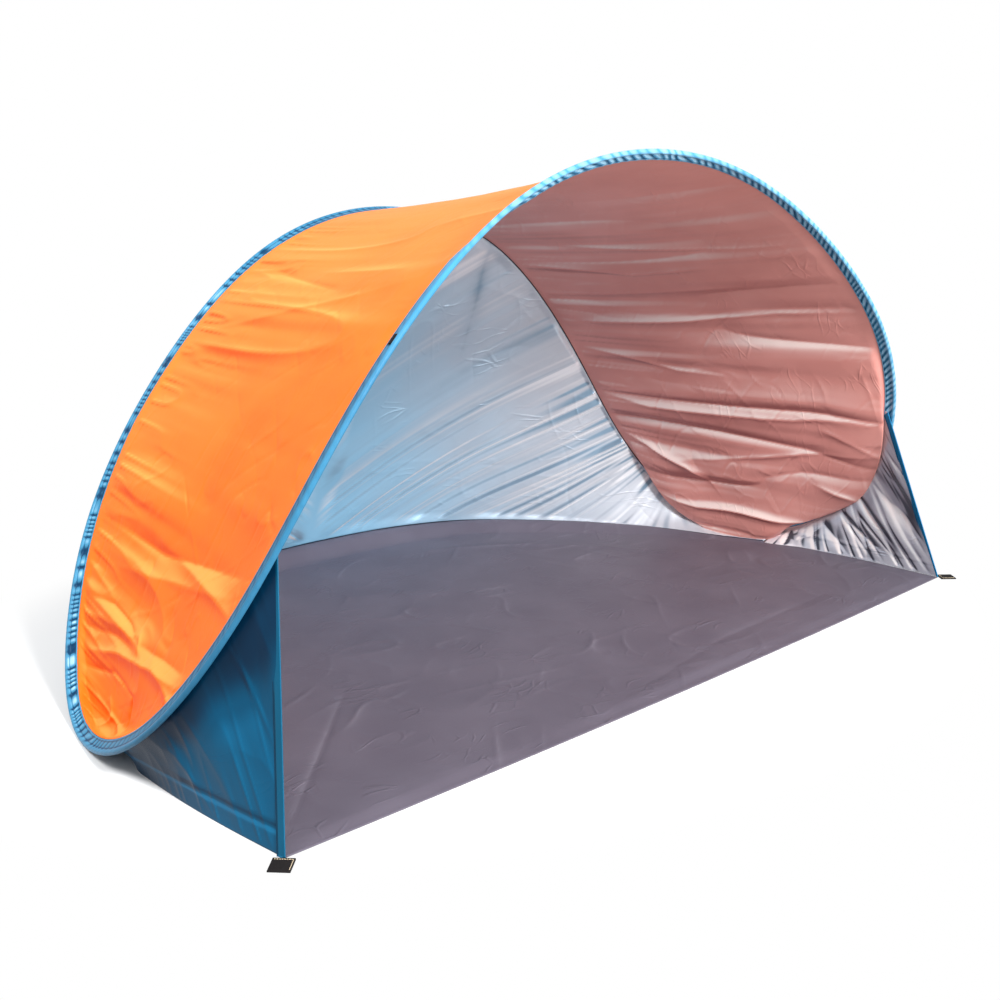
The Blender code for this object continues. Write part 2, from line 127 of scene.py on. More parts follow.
class Finish:
    """A material, or the world, whose nodes are added by name."""

    def __init__(self, name, owner=None):
        self.material = owner or bpy.data.materials.new(name)
        self.material.use_nodes = True
        self.nodes = self.material.node_tree.nodes
        self.links = self.material.node_tree.links
        self.shader = self.nodes.get("Principled BSDF") or self.nodes.get("Background")

    def feed(self, socket, value):
        if isinstance(value, Value):
            self.links.new(value.socket, socket)
        elif hasattr(value, "__len__") and len(value) == 3 and len(socket.default_value) == 4:
            socket.default_value = (*value, 1)
        else:
            socket.default_value = value

    def node(self, kind, settings=None, sockets=None, output=0):
        """Adds a node: its settings come first, then the values or links of its sockets."""
        made = self.nodes.new(kind)
        for name, setting in (settings or {}).items():
            setattr(made, name, setting)
        for key, value in (sockets or {}).items():
            self.feed(made.inputs[key], value)
        return Value(self, made.outputs[output])

    def mix(self, factor, first, second):
        sockets = {0: factor, 6: first, 7: second}
        return self.node("ShaderNodeMix", {"data_type": "RGBA"}, sockets, output=2)

    def scaled(self, vector, factors):
        sockets = {0: vector, 1: factors}
        return self.node("ShaderNodeVectorMath", {"operation": "MULTIPLY"}, sockets)

    def part(self, vector, number):
        return self.node("ShaderNodeSeparateXYZ", {}, {0: vector}, output=number)

    def between(self, value, low, high):
        """0 below low and 1 above high, with a smooth rise."""
        settings = {"interpolation_type": "SMOOTHSTEP"}
        sockets = {"Value": value, "From Min": low, "From Max": high}
        return self.node("ShaderNodeMapRange", settings, sockets)

    def noise(self, place, scale, detail=3, roughness=0.55):
        sockets = {"Vector": place, "Scale": scale, "Detail": detail, "Roughness": roughness}
        return self.node("ShaderNodeTexNoise", {}, sockets)

    def waves(self, place, direction, scale):
        settings = {"wave_type": "BANDS", "bands_direction": direction}
        return self.node("ShaderNodeTexWave", settings, {"Vector": place, "Scale": scale})

    def bump(self, height, strength, distance):
        sockets = {"Height": height, "Strength": strength, "Distance": distance}
        return self.node("ShaderNodeBump", {}, sockets)

    def put(self, **sockets):
        """Feeds the shader's sockets; an underscore stands for a space."""
        for name, value in sockets.items():
            self.feed(self.shader.inputs[name.replace("_", " ")], value)
        return self.material


# %% [markdown]
# ## Light and ground
# The product was photographed against pure white, in soft light from the upper left, with hardly a
# shadow. A white backdrop would need strong lamps, and those would bleach the cloth. So world and ground
# are white only for rays that are seen, straight, in a mirror or through glass, and grey for the light
# that falls on the tent. The ground stays matt near the tent, where it catches the faint shadow, and
# fades to white further out.

# %% Light the scene
AMBIENT = 0.5
world = bpy.data.worlds.new("white_studio")
bpy.context.scene.world = world
studio = Finish("white_studio", world)


def white_rays(finish):
    """1 for what is seen straight, in a mirror or through glass, and 0 for light that falls on the tent."""
    kinds = ("Camera", "Glossy", "Transmission")
    seen, mirrored, through = (finish.node("ShaderNodeLightPath", output=f"Is {kind} Ray") for kind in kinds)
    return seen.math("MAXIMUM", seen, mirrored.math("MAXIMUM", mirrored, through))


studio.put(Color=(1, 1, 1), Strength=AMBIENT + white_rays(studio) * (1 - AMBIENT))


def soft_lamp(name, place, target, size, power):
    data = bpy.data.lights.new(name, "AREA")
    data.shape = "DISK"
    data.size = size
    data.energy = power
    lamp = bpy.data.objects.new(name, data)
    lamp.location = place
    lamp.rotation_euler = (Vector(target) - Vector(place)).to_track_quat("-Z", "Y").to_euler()
    bpy.context.scene.collection.objects.link(lamp)


soft_lamp("front_key", (-0.8, -3.3, 2.6), (0.2, 0, 0.4), 0.8, 165)
soft_lamp("low_fill", (0.4, -3.4, 0.7), (0.1, 0.3, 0.4), 1.6, 75)
soft_lamp("top_key", (-2.4, 0.3, 3.3), (-0.3, 0, 0.5), 1.6, 85)
print("lamps:", [lamp.name for lamp in bpy.data.lights])

# %% Lay the ground
ground_reach = 14
matt_until, white_from = 0.92, 1.18
bpy.ops.mesh.primitive_plane_add(size=2 * ground_reach)
ground = bpy.context.object
ground.name = "ground"
paper = Finish("white_paper")
spot = paper.node("ShaderNodeNewGeometry", output="Position")
oval = paper.scaled(spot, (1, 1.25, 0))
distance = paper.node("ShaderNodeVectorMath", {"operation": "LENGTH"}, {0: oval}, output="Value")
far_away = paper.between(distance, matt_until, white_from)
looked_at = white_rays(paper)
white = paper.mix(looked_at, (0.3, 0.3, 0.3), (1, 1, 1))
glow = paper.node("ShaderNodeEmission", {}, {"Color": white, "Strength": 1.0})
paper.put(Base_Color=paper.mix(looked_at, (0.4, 0.4, 0.4), (0.93, 0.93, 0.93)), Roughness=0.9)
matt = Value(paper, paper.shader.outputs[0])
surface = paper.node("ShaderNodeMixShader", {}, {0: far_away, 1: matt, 2: glow})
paper.links.new(surface.socket, paper.nodes["Material Output"].inputs["Surface"])
ground.data.materials.append(paper.material)
print("the ground is matt up to", matt_until, "m and white from", white_from, "m")

# %% [markdown]
# ## The loop
# Everything hangs on the wire loop, so its course comes first. A real spring finds this shape by itself.
# A simulation of it would need much tuning before it met the photo, so the shape is given: half of it by
# ten stations, as shares of its half width, depth and rise, and mirrored, with a cubic spline through
# them. Three directions go with it: along the wire, inward to the cloth, and outward, square to both.
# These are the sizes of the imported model.

# %% Sizes of the loop, in metres and in shares
loop_half_width, loop_depth, loop_rise = 0.934, 0.851, 0.902
fold_line_depth = 0.437
loop_half_shares = (
    (0.000, 0.137, 1.000),
    (0.398, 0.120, 0.905),
    (0.734, 0.084, 0.637),
    (0.916, 0.147, 0.329),
    (1.000, 0.368, 0.072),
    (0.945, 0.716, 0.010),
    (0.811, 0.945, 0.220),
    (0.633, 1.000, 0.511),
    (0.350, 1.000, 0.797),
    (0.000, 1.000, 0.898),
)
wire_radius = 2.0 * MM
sleeve_radius = 4.2 * MM
sleeve_reach = 4.6 * MM
flange_width = 20 * MM
cad_clearance = 0.3 * MM
steps = 28
spine_share = 0.85
fineness = 30
last_step = 2 * steps
print("the loop has", len(loop_half_shares), "stations on each half and", 2 * last_step, "steps")


# %% Smooth rises, directions and lengths
def smooth(value):
    """0 up to 0 and 1 from 1, with a smooth rise between."""
    value = np.clip(value, 0, 1)
    return value * value * (3 - 2 * value)


def unit(vectors):
    return vectors / np.linalg.norm(vectors, axis=-1, keepdims=True)


def lengths_along(points):
    """The length from the first point to each of them."""
    return np.append(0, np.linalg.norm(np.diff(points, axis=0), axis=-1).cumsum())


# %% Work out the rails of the loop
def closed_spline(stations, t):
    """The closed cubic spline through the stations; station k lies at t = k."""
    count = len(stations)
    whole = np.eye(count)
    weights = (4 * whole + np.roll(whole, 1, axis=0) + np.roll(whole, -1, axis=0)) / 6
    control = np.linalg.solve(weights, stations)
    first = np.floor(t).astype(int)
    u = (t - first)[:, None]
    blend = ((1 - u) ** 3, 3 * u**3 - 6 * u**2 + 4, -3 * u**3 + 3 * u**2 + 3 * u + 1, u**3)
    return sum(share * control[(first + k - 1) % count] for k, share in enumerate(blend)) / 6


def loop_rails():
    """Places and the three directions at even steps along the right half, from front top to rear top."""
    half = np.array(loop_half_shares) * (loop_half_width, loop_depth, loop_rise)
    stations = np.vstack([half, half[-2:0:-1] * (-1, 1, 1)])
    spans, coarse, finer = len(half) - 1, 60, 10
    fine = closed_spline(stations, np.linspace(0, spans, spans * coarse * finer + 1) % len(stations))
    fine[:, 2] += sleeve_reach - fine[:, 2].min()
    lengths = lengths_along(fine)
    fold_length = lengths[np.argmax(fine[::finer, 1] >= fold_line_depth) * finer]
    count = steps * fineness
    stops = np.append(
        np.linspace(0, fold_length, count + 1), np.linspace(fold_length, lengths[-1], count + 1)[1:]
    )
    places = np.column_stack([np.interp(stops, lengths, fine[:, axis]) for axis in range(3)])
    around = np.vstack([places[1] * (-1, 1, 1), places, places[-2] * (-1, 1, 1)])
    along = unit(around[2:] - around[:-2])
    index = np.arange(2 * count + 1)
    level = np.minimum(np.minimum(index, 2 * count - index), round(spine_share * steps) * fineness)
    spine = (places[level] + places[2 * count - level]) / 2
    inward = spine - places
    inward = unit(inward - along * (along * inward).sum(axis=1, keepdims=True))
    return np.stack([places, inward, np.cross(along, inward)], axis=1), stops


rails, rail_lengths = loop_rails()
rail_steps = np.linspace(0, last_step, len(rails))
fold_end = rails[steps * fineness]
fold_y = (fold_end[0] + fold_end[1] * (flange_width + cad_clearance))[1]
fold_joint = next(joint for joint in frame["joints"] if joint["name"] == "front_fold")
shift = np.array([0, fold_joint["pos_m"][1] - fold_y, 0])
step_length = rail_lengths[steps * fineness] / steps
print("loop:", round(2 * rail_lengths[-1], 3), "m of wire; one step is", round(step_length * 1000, 1), "mm")

# %% [markdown]
# The sleeve does not lie flat all the way. Where only the roof pulls on it, at the top of the front arch, its
# flange hangs down; at the rear it turns towards the wall. A table of turns gives the angle at some steps:
# negative steps are on the left, and both ends of the table are the top of the rear arch.

# %% Turn the flange along the loop
flange_turns = (
    (-56, 14),
    (-51, 16),
    (-47, 5),
    (-42, 0),
    (-38, 18),
    (-33, 30),
    (-29, 10),
    (-24, 0),
    (-9.5, 0),
    (-6, 42),
    (-3, 38),
    (0, 32),
    (3, 16),
    (6, 4),
    (10, 0),
    (24, 0),
    (29, 10),
    (33, 20),
    (45, 20),
    (56, 14),
)


def on_loop(step, inward=0.0, outward=0.0):
    """Points beside the loop. Steps are 0 at the front top and run to -56 and 56 at the rear top."""
    step, inward, outward = np.broadcast_arrays(np.asarray(step, float), inward, outward)
    size = np.abs(step)
    read = [[np.interp(size, rail_steps, rails[:, n, axis]) for axis in range(3)] for n in range(3)]
    place, in_way, out_way = (np.stack(parts, axis=-1) for parts in read)
    turn = np.radians(np.interp(step, *np.array(flange_turns, float).T))[..., None]
    in_now = np.cos(turn) * in_way - np.sin(turn) * out_way
    out_now = np.cos(turn) * out_way + np.sin(turn) * in_way
    point = place + in_now * inward[..., None] + out_now * outward[..., None]
    mirror = np.where(step < 0, -1.0, 1.0)
    return point * np.stack([mirror, np.ones_like(mirror), np.ones_like(mirror)], axis=-1) + shift


def arc_length(step):
    """Signed length along the loop from the front top."""
    return np.sign(step) * np.interp(np.abs(step), rail_steps, rail_lengths)


_, wire_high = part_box("front_wire")
front_course = on_loop(np.linspace(-steps, steps, 600))
print("the front wire reaches", [round(v, 4) for v in wire_high])
print("and the rails reach", front_course.max(axis=0).round(4))

# %% [markdown]
# ## Cloth
# A panel is a fine grid of points. Its folds are worked out in code, not simulated, because they have to
# sit where they are on the real tent: long folds that run from seam to seam, short gathers where a seam
# draws the cloth in, and a few sharp creases. Soft random drift keeps them from looking regular; it is
# seeded, so that every run gives the same cloth. Solidify then gives the sheet its thickness and its two
# finishes.

# %% Soft random drift
drift_size = 64


def drift(x, y, seed):
    """Smooth random hills between -1 and 1, about one unit wide."""
    table = np.random.default_rng(seed).uniform(-1, 1, (drift_size, drift_size))
    column, row = np.floor(x).astype(int), np.floor(y).astype(int)
    u, v = smooth(x - column), smooth(y - row)
    corner = [[table[(row + b) % drift_size, (column + a) % drift_size] for a in (0, 1)] for b in (0, 1)]
    low = corner[0][0] * (1 - u) + corner[0][1] * u
    high = corner[1][0] * (1 - u) + corner[1][1] * u
    return low * (1 - v) + high * v


# %% Ridges, pinches and creases
def ridged(phase):
    """A row of folds one unit apart: round crests and sharp valleys, between -1 and 1."""
    return 2 * np.abs(np.sin(math.pi * phase)) ** 0.7 - 1


def pinched(x, y, seed):
    """Narrow crests along random lines about a unit apart, between 0 and 1."""
    return (1 - np.abs(drift(x, y, seed))) ** 4


def crumple(x, y, seed, pitch=45 * MM):
    """Fine creases in all directions, as stiff coated cloth keeps from its bag."""
    total = 0
    for n, turn in enumerate((0.3, 1.4, 2.3)):
        u = (x * math.cos(turn) + y * math.sin(turn)) / pitch
        v = (y * math.cos(turn) - x * math.sin(turn)) / pitch
        total = total + (1 - np.abs(drift(u, v / 2.5, seed + n))) ** 10 * drift(u / 2, v / 2, seed + 5 + n)
    return total


def crease(x, y, points, depth, width):
    """A crease along chosen points: a sharp crest, between shallow valleys, that fades at both ends."""
    points = np.array(points, float)
    lengths = lengths_along(points)
    nearest, course = np.full(x.shape, np.inf), np.zeros(x.shape)
    for start, end, before in zip(points, points[1:], lengths):
        way = end - start
        share = np.clip(((x - start[0]) * way[0] + (y - start[1]) * way[1]) / (way @ way), 0, 1)
        away = np.hypot(x - start[0] - share * way[0], y - start[1] - share * way[1])
        course = np.where(away < nearest, before + share * np.linalg.norm(way), course)
        nearest = np.minimum(nearest, away)
    fade = np.sin(math.pi * np.clip(course / lengths[-1], 0.02, 0.98)) ** 0.5
    return depth * fade * (1.5 * np.exp(-nearest / width) - 0.5 * np.exp(-nearest / (3 * width)))


# %% Turn a grid of points into a sheet
cloth_thickness = 0.4 * MM


def settle(piece):
    """Applies the modifiers."""
    bpy.context.view_layer.update()
    graph = bpy.context.evaluated_depsgraph_get()
    final = bpy.data.meshes.new_from_object(piece.evaluated_get(graph))
    piece.modifiers.clear()
    piece.data = final
    return piece


def new_piece(name, data, finishes):
    piece = bpy.data.objects.new(name, data)
    bpy.context.scene.collection.objects.link(piece)
    for finish in finishes:
        data.materials.append(finish)
    return piece


def cloth_sheet(name, grid, thickness, finishes, panel, closed=False, flipped=False, painted_light=0.0):
    """A sheet through a grid of points.

    panel gives each point's place on the flat cloth, in metres, and the painted light how dark (-1) or bright
    (1) its fold is painted.
    """
    rows, columns = grid.shape[:2]
    index = np.arange(rows * columns).reshape(rows, columns)
    if closed:
        index = np.hstack([index, index[:, :1]])
    quads = np.stack([index[:-1, :-1], index[:-1, 1:], index[1:, 1:], index[1:, :-1]], axis=-1).reshape(-1, 4)
    if flipped:
        quads = quads[:, ::-1]
    data = bpy.data.meshes.new(name)
    data.from_pydata(grid.reshape(-1, 3).tolist(), [], quads.tolist())
    flat = np.zeros((rows * columns, 3), np.float32)
    flat[:, :2] = panel.reshape(-1, 2)
    flat[:, 2] = np.broadcast_to(painted_light, (rows, columns)).ravel()
    data.attributes.new("cloth", "FLOAT_VECTOR", "POINT").data.foreach_set("vector", flat.ravel())
    data.shade_smooth()
    piece = new_piece(name, data, finishes)
    solid = piece.modifiers.new("thickness", "SOLIDIFY")
    solid.thickness = thickness
    solid.offset = 0
    solid.material_offset = len(finishes) - 1
    return settle(piece)


def lengths_down(grid, choose=np.max):
    """The length down a sheet to each of its rows, by the longest of the steps from row to row."""
    return np.append(0, choose(np.linalg.norm(np.diff(grid, axis=0), axis=-1), axis=1).cumsum())


def square_to(grid, first=0, second=1):
    """The direction square to a surface, at each of its points."""
    return unit(np.cross(np.gradient(grid, axis=first), np.gradient(grid, axis=second)))


def area_of(grid):
    """Area of the surface through a grid of points."""
    one = grid[1:, 1:] - grid[:-1, :-1]
    other = grid[1:, :-1] - grid[:-1, 1:]
    return np.linalg.norm(np.cross(one, other), axis=-1).sum() / 2


# %% [markdown]
# ## Finishes
# The tent is thin coated polyester. Outside it is plain dyed cloth with a satin gloss; inside it has a silver
# coating that lets some of the dye's colour through, so it is set as part metal. The daylight that comes
# through the thin cloth is painted in: as a faint painted glow, partly in the rose colour of the roof's
# coating, and as a painted blue tint on the wall's inside. The orange is painted lighter near the top of the
# roof, most towards the rear arch. An image of cloth would blur up close and show its edges. Nodes don't:
# they are given each point's place on the flat panel, in metres, so the weave and the crumple keep their size
# everywhere. The third number that comes with each point is the painted light of its fold, which carries the
# colour from dark to bright.


# %% Woven cloth, plain or coated
weave_scale = 320
crease_facets = (14, 40, 1)


def woven(
    name, colour, deep_colour, roughness, metallic=0.0, crumple=1.0, light=None, dark=None,
    painted_light_tint=None, tinted=(0.05, 0.75), uphill=0.45, glow=0.0, inside=False,
):
    """Cloth from colour to deep_colour, with a weave of 1 mm pitch and a crumple of some centimetres.

    The painted light of the sheet's folds turns it towards the light colour or the dark one, the other way
    round on its inside: light and dark are the colours of painted highlights and painted shade. The tint is a
    colour of painted light that the cloth takes near the panel's start, within the distances tinted, where
    uphill is what a metre upward counts. glow is an emission that paints the daylight that comes through thin
    cloth.
    """
    made = Finish(name)
    read = made.node("ShaderNodeAttribute", {"attribute_name": "cloth"}, output="Vector")
    place = made.scaled(read, (1, 1, 0))
    painted_light = made.part(read, 2) * (-1 if inside else 1)
    cloudy = made.noise(made.scaled(place, (6, 6, 6)), 1.0, 2)
    fine = made.noise(place, 160, 4, 0.6)
    warp = made.node("ShaderNodeTexNoise", {}, {"Vector": place, "Scale": 5.0}, output="Color")
    drawn = made.scaled(warp, (0.15, 0.15, 0))
    bent = made.node("ShaderNodeVectorMath", {"operation": "ADD"}, {0: place, 1: drawn})
    cells = made.scaled(bent, crease_facets)
    facets = made.node(
        "ShaderNodeTexVoronoi", {"feature": "DISTANCE_TO_EDGE"}, {"Vector": cells, "Scale": 1.0}
    )
    creased = made.between(made.noise(place, 9, 2), 0.5, 0.66)
    crease_lines = (1 - made.between(facets, 0, 0.1)) * creased
    threads, picks = (made.waves(place, way, weave_scale) for way in "XY")
    weave = threads * picks
    shade = made.between(cloudy, 0.25, 0.75)
    base = made.mix(shade, colour, deep_colour)
    # Painted light: near the panel's start the cloth takes the tint colour.
    if painted_light_tint:
        side_way, up = made.part(read, 0), made.part(read, 1)
        away = side_way.math("ABSOLUTE", side_way) + up * uphill + (cloudy - 0.5) * 0.3
        base = made.mix(made.between(away, *tinted), painted_light_tint, base)
    # Painted highlights and painted shade of the folds.
    base = made.mix(made.between(painted_light, 0, 1), base, light or colour)
    base = made.mix(made.between(0 - painted_light, 0, 1), base, dark or deep_colour)
    coarse = made.bump(crease_lines, crumple, 1.2 * MM)
    made.feed(coarse.socket.node.inputs["Normal"], made.bump(weave * 0.6 + fine * 0.4, 0.15, 0.3 * MM))
    return made.put(
        Base_Color=base,
        Roughness=roughness + (fine - 0.5) * 0.12,
        Metallic=metallic,
        Normal=coarse,
        Specular_IOR_Level=0.25 if inside else 0.13,
        Emission_Color=base,
        Emission_Strength=glow,
    )


# %% The finishes of this tent
# Painted light: the orange's tint paints it lighter near the top of the roof, and its glow paints daylight
# through the cloth.
orange = woven(
    "orange_polyester", (1.0, 0.195, 0.012), (0.98, 0.165, 0.009), 0.48, crumple=0.08,
    light=(1, 0.36, 0.07), dark=(0.95, 0.10, 0.003), painted_light_tint=(1.0, 0.245, 0.035), tinted=(-0.3, 0.6),
    uphill=-1.2, glow=0.05,
)
# The coating's rose colour is partly its own and partly painted daylight through the orange cloth; its glow
# paints that daylight too.
orange_inside = woven(
    "orange_coating", (0.83, 0.365, 0.315), (0.75, 0.31, 0.265), 0.32, 0.22, crumple=0.4,
    light=(0.95, 0.76, 0.70), dark=(0.50, 0.17, 0.15), glow=0.06, inside=True,
)
blue = woven(
    "blue_polyester", (0.001, 0.085, 0.18), (0.001, 0.07, 0.155), 0.30, crumple=0.1,
    light=(0.008, 0.18, 0.37), dark=(0.001, 0.022, 0.058),
)
# Painted light: the silver's tint paints the blue daylight that comes through the wall, and its glow paints
# that daylight too.
silver = woven(
    "silver_coating", (0.56, 0.59, 0.64), (0.49, 0.53, 0.59), 0.35, 0.25, crumple=0.5,
    light=(0.87, 0.89, 0.92), dark=(0.17, 0.26, 0.35), painted_light_tint=(0.27, 0.54, 0.74), tinted=(0.05, 0.85),
    glow=0.035, inside=True,
)
wing_silver = woven(
    "wing_coating", (0.85, 0.88, 0.94), (0.50, 0.53, 0.60), 0.25, 0.35, crumple=0.6,
    light=(1, 1, 1), dark=(0.10, 0.11, 0.14), inside=True,
)
grey = woven(
    "floor_cloth", (0.140, 0.127, 0.163), (0.120, 0.108, 0.141), 0.5, crumple=0.7,
    light=(0.26, 0.25, 0.30), dark=(0.07, 0.065, 0.09),
)
sleeve_cloth = woven(
    "sleeve_tape", (0.07, 0.31, 0.52), (0.05, 0.25, 0.44), 0.36, crumple=0.1,
    light=(0.42, 0.74, 0.95), dark=(0.002, 0.045, 0.12),
)
# Two copies of one blue tape: a darker one with painted shade for the left wing, a lighter one with painted
# light for the right.
shaded_trim = woven(
    "edge_tape", (0.006, 0.12, 0.23), (0.004, 0.10, 0.19), 0.42, crumple=0.1, dark=(0.001, 0.02, 0.05)
)
lit_trim = woven(
    "lit_edge_tape", (0.01, 0.22, 0.46), (0.008, 0.19, 0.40), 0.42, crumple=0.1, dark=(0.001, 0.08, 0.18)
)
# The piping's near-black colour is partly painted shade in the seam.
piping_and_seam_shade = woven("seam_piping", (0.02, 0.035, 0.06), (0.01, 0.02, 0.04), 0.5, crumple=0.1)
print("finishes:", sorted(finish.name for finish in bpy.data.materials))

# %% [markdown]
# ## The sleeve
# A strip of tape is folded round the wire and sewn to itself and to the roof, which leaves a flange. The
# tape is a little longer than the wire, so it gathers: slanted pleats run from the tube to the seam,
# tight along the front top and irregular at the lower left. A round bevel along the loop could make the
# tube, but not the flange, so one closed ring of sections makes both, with a stitched groove.

# %% Gathers of the flange
stitch_line = 16.5 * MM
gather_pitch = 20 * MM
gather_slant = 1.45
gather_pitches = ((-56, 21), (-30, 17), (-8, 25), (4, 25), (9, 17), (24, 15), (56, 21))
gather_depth = 2.2 * MM
gather_amounts = (
    (-56, 0.25),
    (-52, 0.3),
    (-48, 0.9),
    (-44, 0.6),
    (-39, 0.8),
    (-34, 1.1),
    (-29, 0.6),
    (-26, 0.1),
    (-10, 0.1),
    (-7, 0.8),
    (-4, 1.0),
    (18, 1.0),
    (24, 0.4),
    (30, 0.6),
    (46, 0.7),
    (56, 0.25),
)
pleat_steps = np.linspace(-last_step, last_step, 2 * last_step * 20 + 1)
pleat_counts = step_length / MM / np.interp(pleat_steps, *np.array(gather_pitches, float).T) / 20
pleat_counts = np.append(0, pleat_counts[1:].cumsum())
pleat_counts = pleat_counts * round(pleat_counts[-1]) / pleat_counts[-1]
print("pleats round the loop:", round(pleat_counts[-1]))


def pleats(step, inward):
    """Slanted pleats between -1 and 1, with round crests and sharp valleys, and how strong they are."""
    length = arc_length(step)
    amount = np.interp(step, *np.array(gather_amounts, float).T)
    front = 1 - smooth((np.abs(step) - steps) / 3)
    wander = drift(length / (2.5 * gather_pitch) + 7, 0 * length, 3) * (2.0 - 1.5 * front)
    phase = np.interp(step, pleat_steps, pleat_counts) - gather_slant * front * inward / gather_pitch + wander
    lively = 0.7 + 0.3 * drift(length / gather_pitch / 1.7, inward / (12 * MM), 5)
    return ridged(phase), amount * lively


def gathers(step, inward):
    """How far the flange waves up or down at a distance inward of the wire."""
    wave, amount = pleats(step, inward)
    across = smooth((inward - 2 * MM) / (6 * MM)) * (1 - 0.75 * smooth((inward - 13 * MM) / (3 * MM)))
    return gather_depth * amount * across * wave


# %% Make the sleeve
def sleeve_section():
    """Inward and outward offsets of the folded tape, from one edge round the wire to the other."""
    layer = 0.8 * MM
    tip_layer = 0.55 * MM
    groove = 0.5 * MM
    reaches = (20.0, 18.4, 17.2, 16.5, 15.8, 14.0, 12.0, 10.0, 8.0, 6.2)
    strip = []
    for reach in reaches:
        height = tip_layer if reach > 16.9 else groove if abs(reach - 16.5) < 0.1 else layer
        strip.append((reach * MM, height))
    start = math.asin(layer / sleeve_radius)
    turns = np.linspace(start + 0.25, 2 * math.pi - start - 0.25, 13)
    bend = [(sleeve_radius * math.cos(a), sleeve_radius * math.sin(a)) for a in turns]
    return strip + bend + [(reach, -height) for reach, height in strip[::-1]]


def make_sleeve():
    section = np.array(sleeve_section())
    ring = np.linspace(-last_step, last_step, 2 * last_step * fineness + 1)[:-1]
    step, inward = np.meshgrid(ring, section[:, 0])
    outward = np.repeat(section[:, 1:], len(ring), axis=1) + gathers(step, inward)
    puff = 1 + 0.06 * drift(arc_length(step) / (9 * MM), inward / (4 * MM), 9)
    grid = on_loop(step, inward * np.where(inward < 5 * MM, puff, 1), outward)
    along = lengths_along(section)
    panel = np.stack([arc_length(step), np.repeat(along[:, None], len(ring), axis=1)], axis=-1)
    wave, amount = pleats(step, inward)
    # Painted light: pleat crests are painted bright and valleys dark, the stitched groove and the left side
    # are painted in shade, the joint of tube and flange is painted darker on the shaded side, and the tube
    # and the tip strip are painted as highlights.
    on_tube = smooth((4.5 * MM - inward) / (3 * MM))
    groove = np.exp(-(((inward - stitch_line) / (0.8 * MM)) ** 2))
    in_shade = smooth((-8 - step) / 6)
    joint = np.exp(-(((inward - 6.4 * MM) / (0.9 * MM)) ** 2))
    tip = smooth((inward - 17.2 * MM) / (0.6 * MM))
    painted_light = (1.8 * wave - 0.3) * amount * (1 - 0.8 * on_tube) * (1 - tip) - 0.9 * groove - 0.5 * in_shade
    painted_light = painted_light + (0.5 * tip + 0.35 * on_tube) * (0.3 + 0.7 * amount) - 0.8 * joint * in_shade
    painted_light = np.clip(painted_light, -1, 1)
    print("sleeve tape:", round(along[-1] * 1000, 1), "mm wide")
    return cloth_sheet("loop_sleeve", grid, 0.5 * MM, [sleeve_cloth], panel, True, True, painted_light)


loop_sleeve = make_sleeve()

# %% [markdown]
# ## The wire
# The spring wire lies hidden in the sleeve, and its two ends meet in a short steel tube, the ferrule,
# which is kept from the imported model. A round bevel along a curve is the plainest way to make a rod. One
# function does it for the wire, and later for the piping and for the stitches.


# %% Bend rods through points
def rods(name, courses, radius, finish, closed=False, sides=2, soft=True):
    """One round rod or thread through each course of points, all as one piece."""
    data = bpy.data.curves.new(name, "CURVE")
    data.dimensions = "3D"
    data.bevel_depth = radius
    data.bevel_resolution = sides
    data.use_fill_caps = not closed
    for points in courses:
        spline = data.splines.new("POLY")
        spline.points.add(len(points) - 1)
        spline.points.foreach_set("co", np.column_stack([points, np.ones(len(points))]).ravel())
        spline.use_cyclic_u = closed
    holder = new_piece(name, data, [finish])
    bpy.context.view_layer.update()
    graph = bpy.context.evaluated_depsgraph_get()
    mesh = bpy.data.meshes.new_from_object(holder.evaluated_get(graph))
    bpy.data.objects.remove(holder)
    if soft:
        mesh.shade_smooth()
    return new_piece(name, mesh, [])


# %% Make the wire
def bright_steel():
    steel = Finish("spring_steel")
    place = steel.node("ShaderNodeTexCoord", output="Object")
    grain = steel.noise(steel.scaled(place, (900, 900, 900)), 1.0, 2)
    return steel.put(
        Base_Color=steel.mix(grain, (0.45, 0.46, 0.48), (0.36, 0.37, 0.39)),
        Roughness=0.28 + grain * 0.15,
        Metallic=1.0,
    )


steel = bright_steel()
wire_points = on_loop(np.linspace(-last_step, last_step, 2 * last_step * 6 + 1)[:-1])
loop_wire = rods("loop_wire", [wire_points], wire_radius, steel, closed=True)
ferrule = frame["nodes"]["wire_ferrule"]
ferrule.data.materials.clear()
ferrule.data.materials.append(steel)
print("wire:", round(2 * wire_radius * 1000, 1), "mm thick, through", len(wire_points), "points")

# %% [markdown]
# ## The roof
# The roof is sewn into the loop on all sides. Between the arches it is pulled straight, so a straight
# line from arch to arch carries it, and it sags a little between. Its long folds run along those lines
# and slant downward towards the front. At both ends the cloth is slack: it bulges inward and hangs over
# the seam as a soft roll. So the base comes first, then sag and folds square to it, and the roll last,
# which leaves each of them free to be changed alone.

# %% Sizes and creases of the roof
roof_end = 26
roof_open = 4
roof_edge = flange_width + 0.6 * MM
roof_tuck = 18.5 * MM
roof_lowest = 4 * MM
roof_sag = 10 * MM
roof_width, crumpled_width = 0.67, 0.7
end_bulge = 14 * MM
roof_fineness, roof_rows = 13, 211

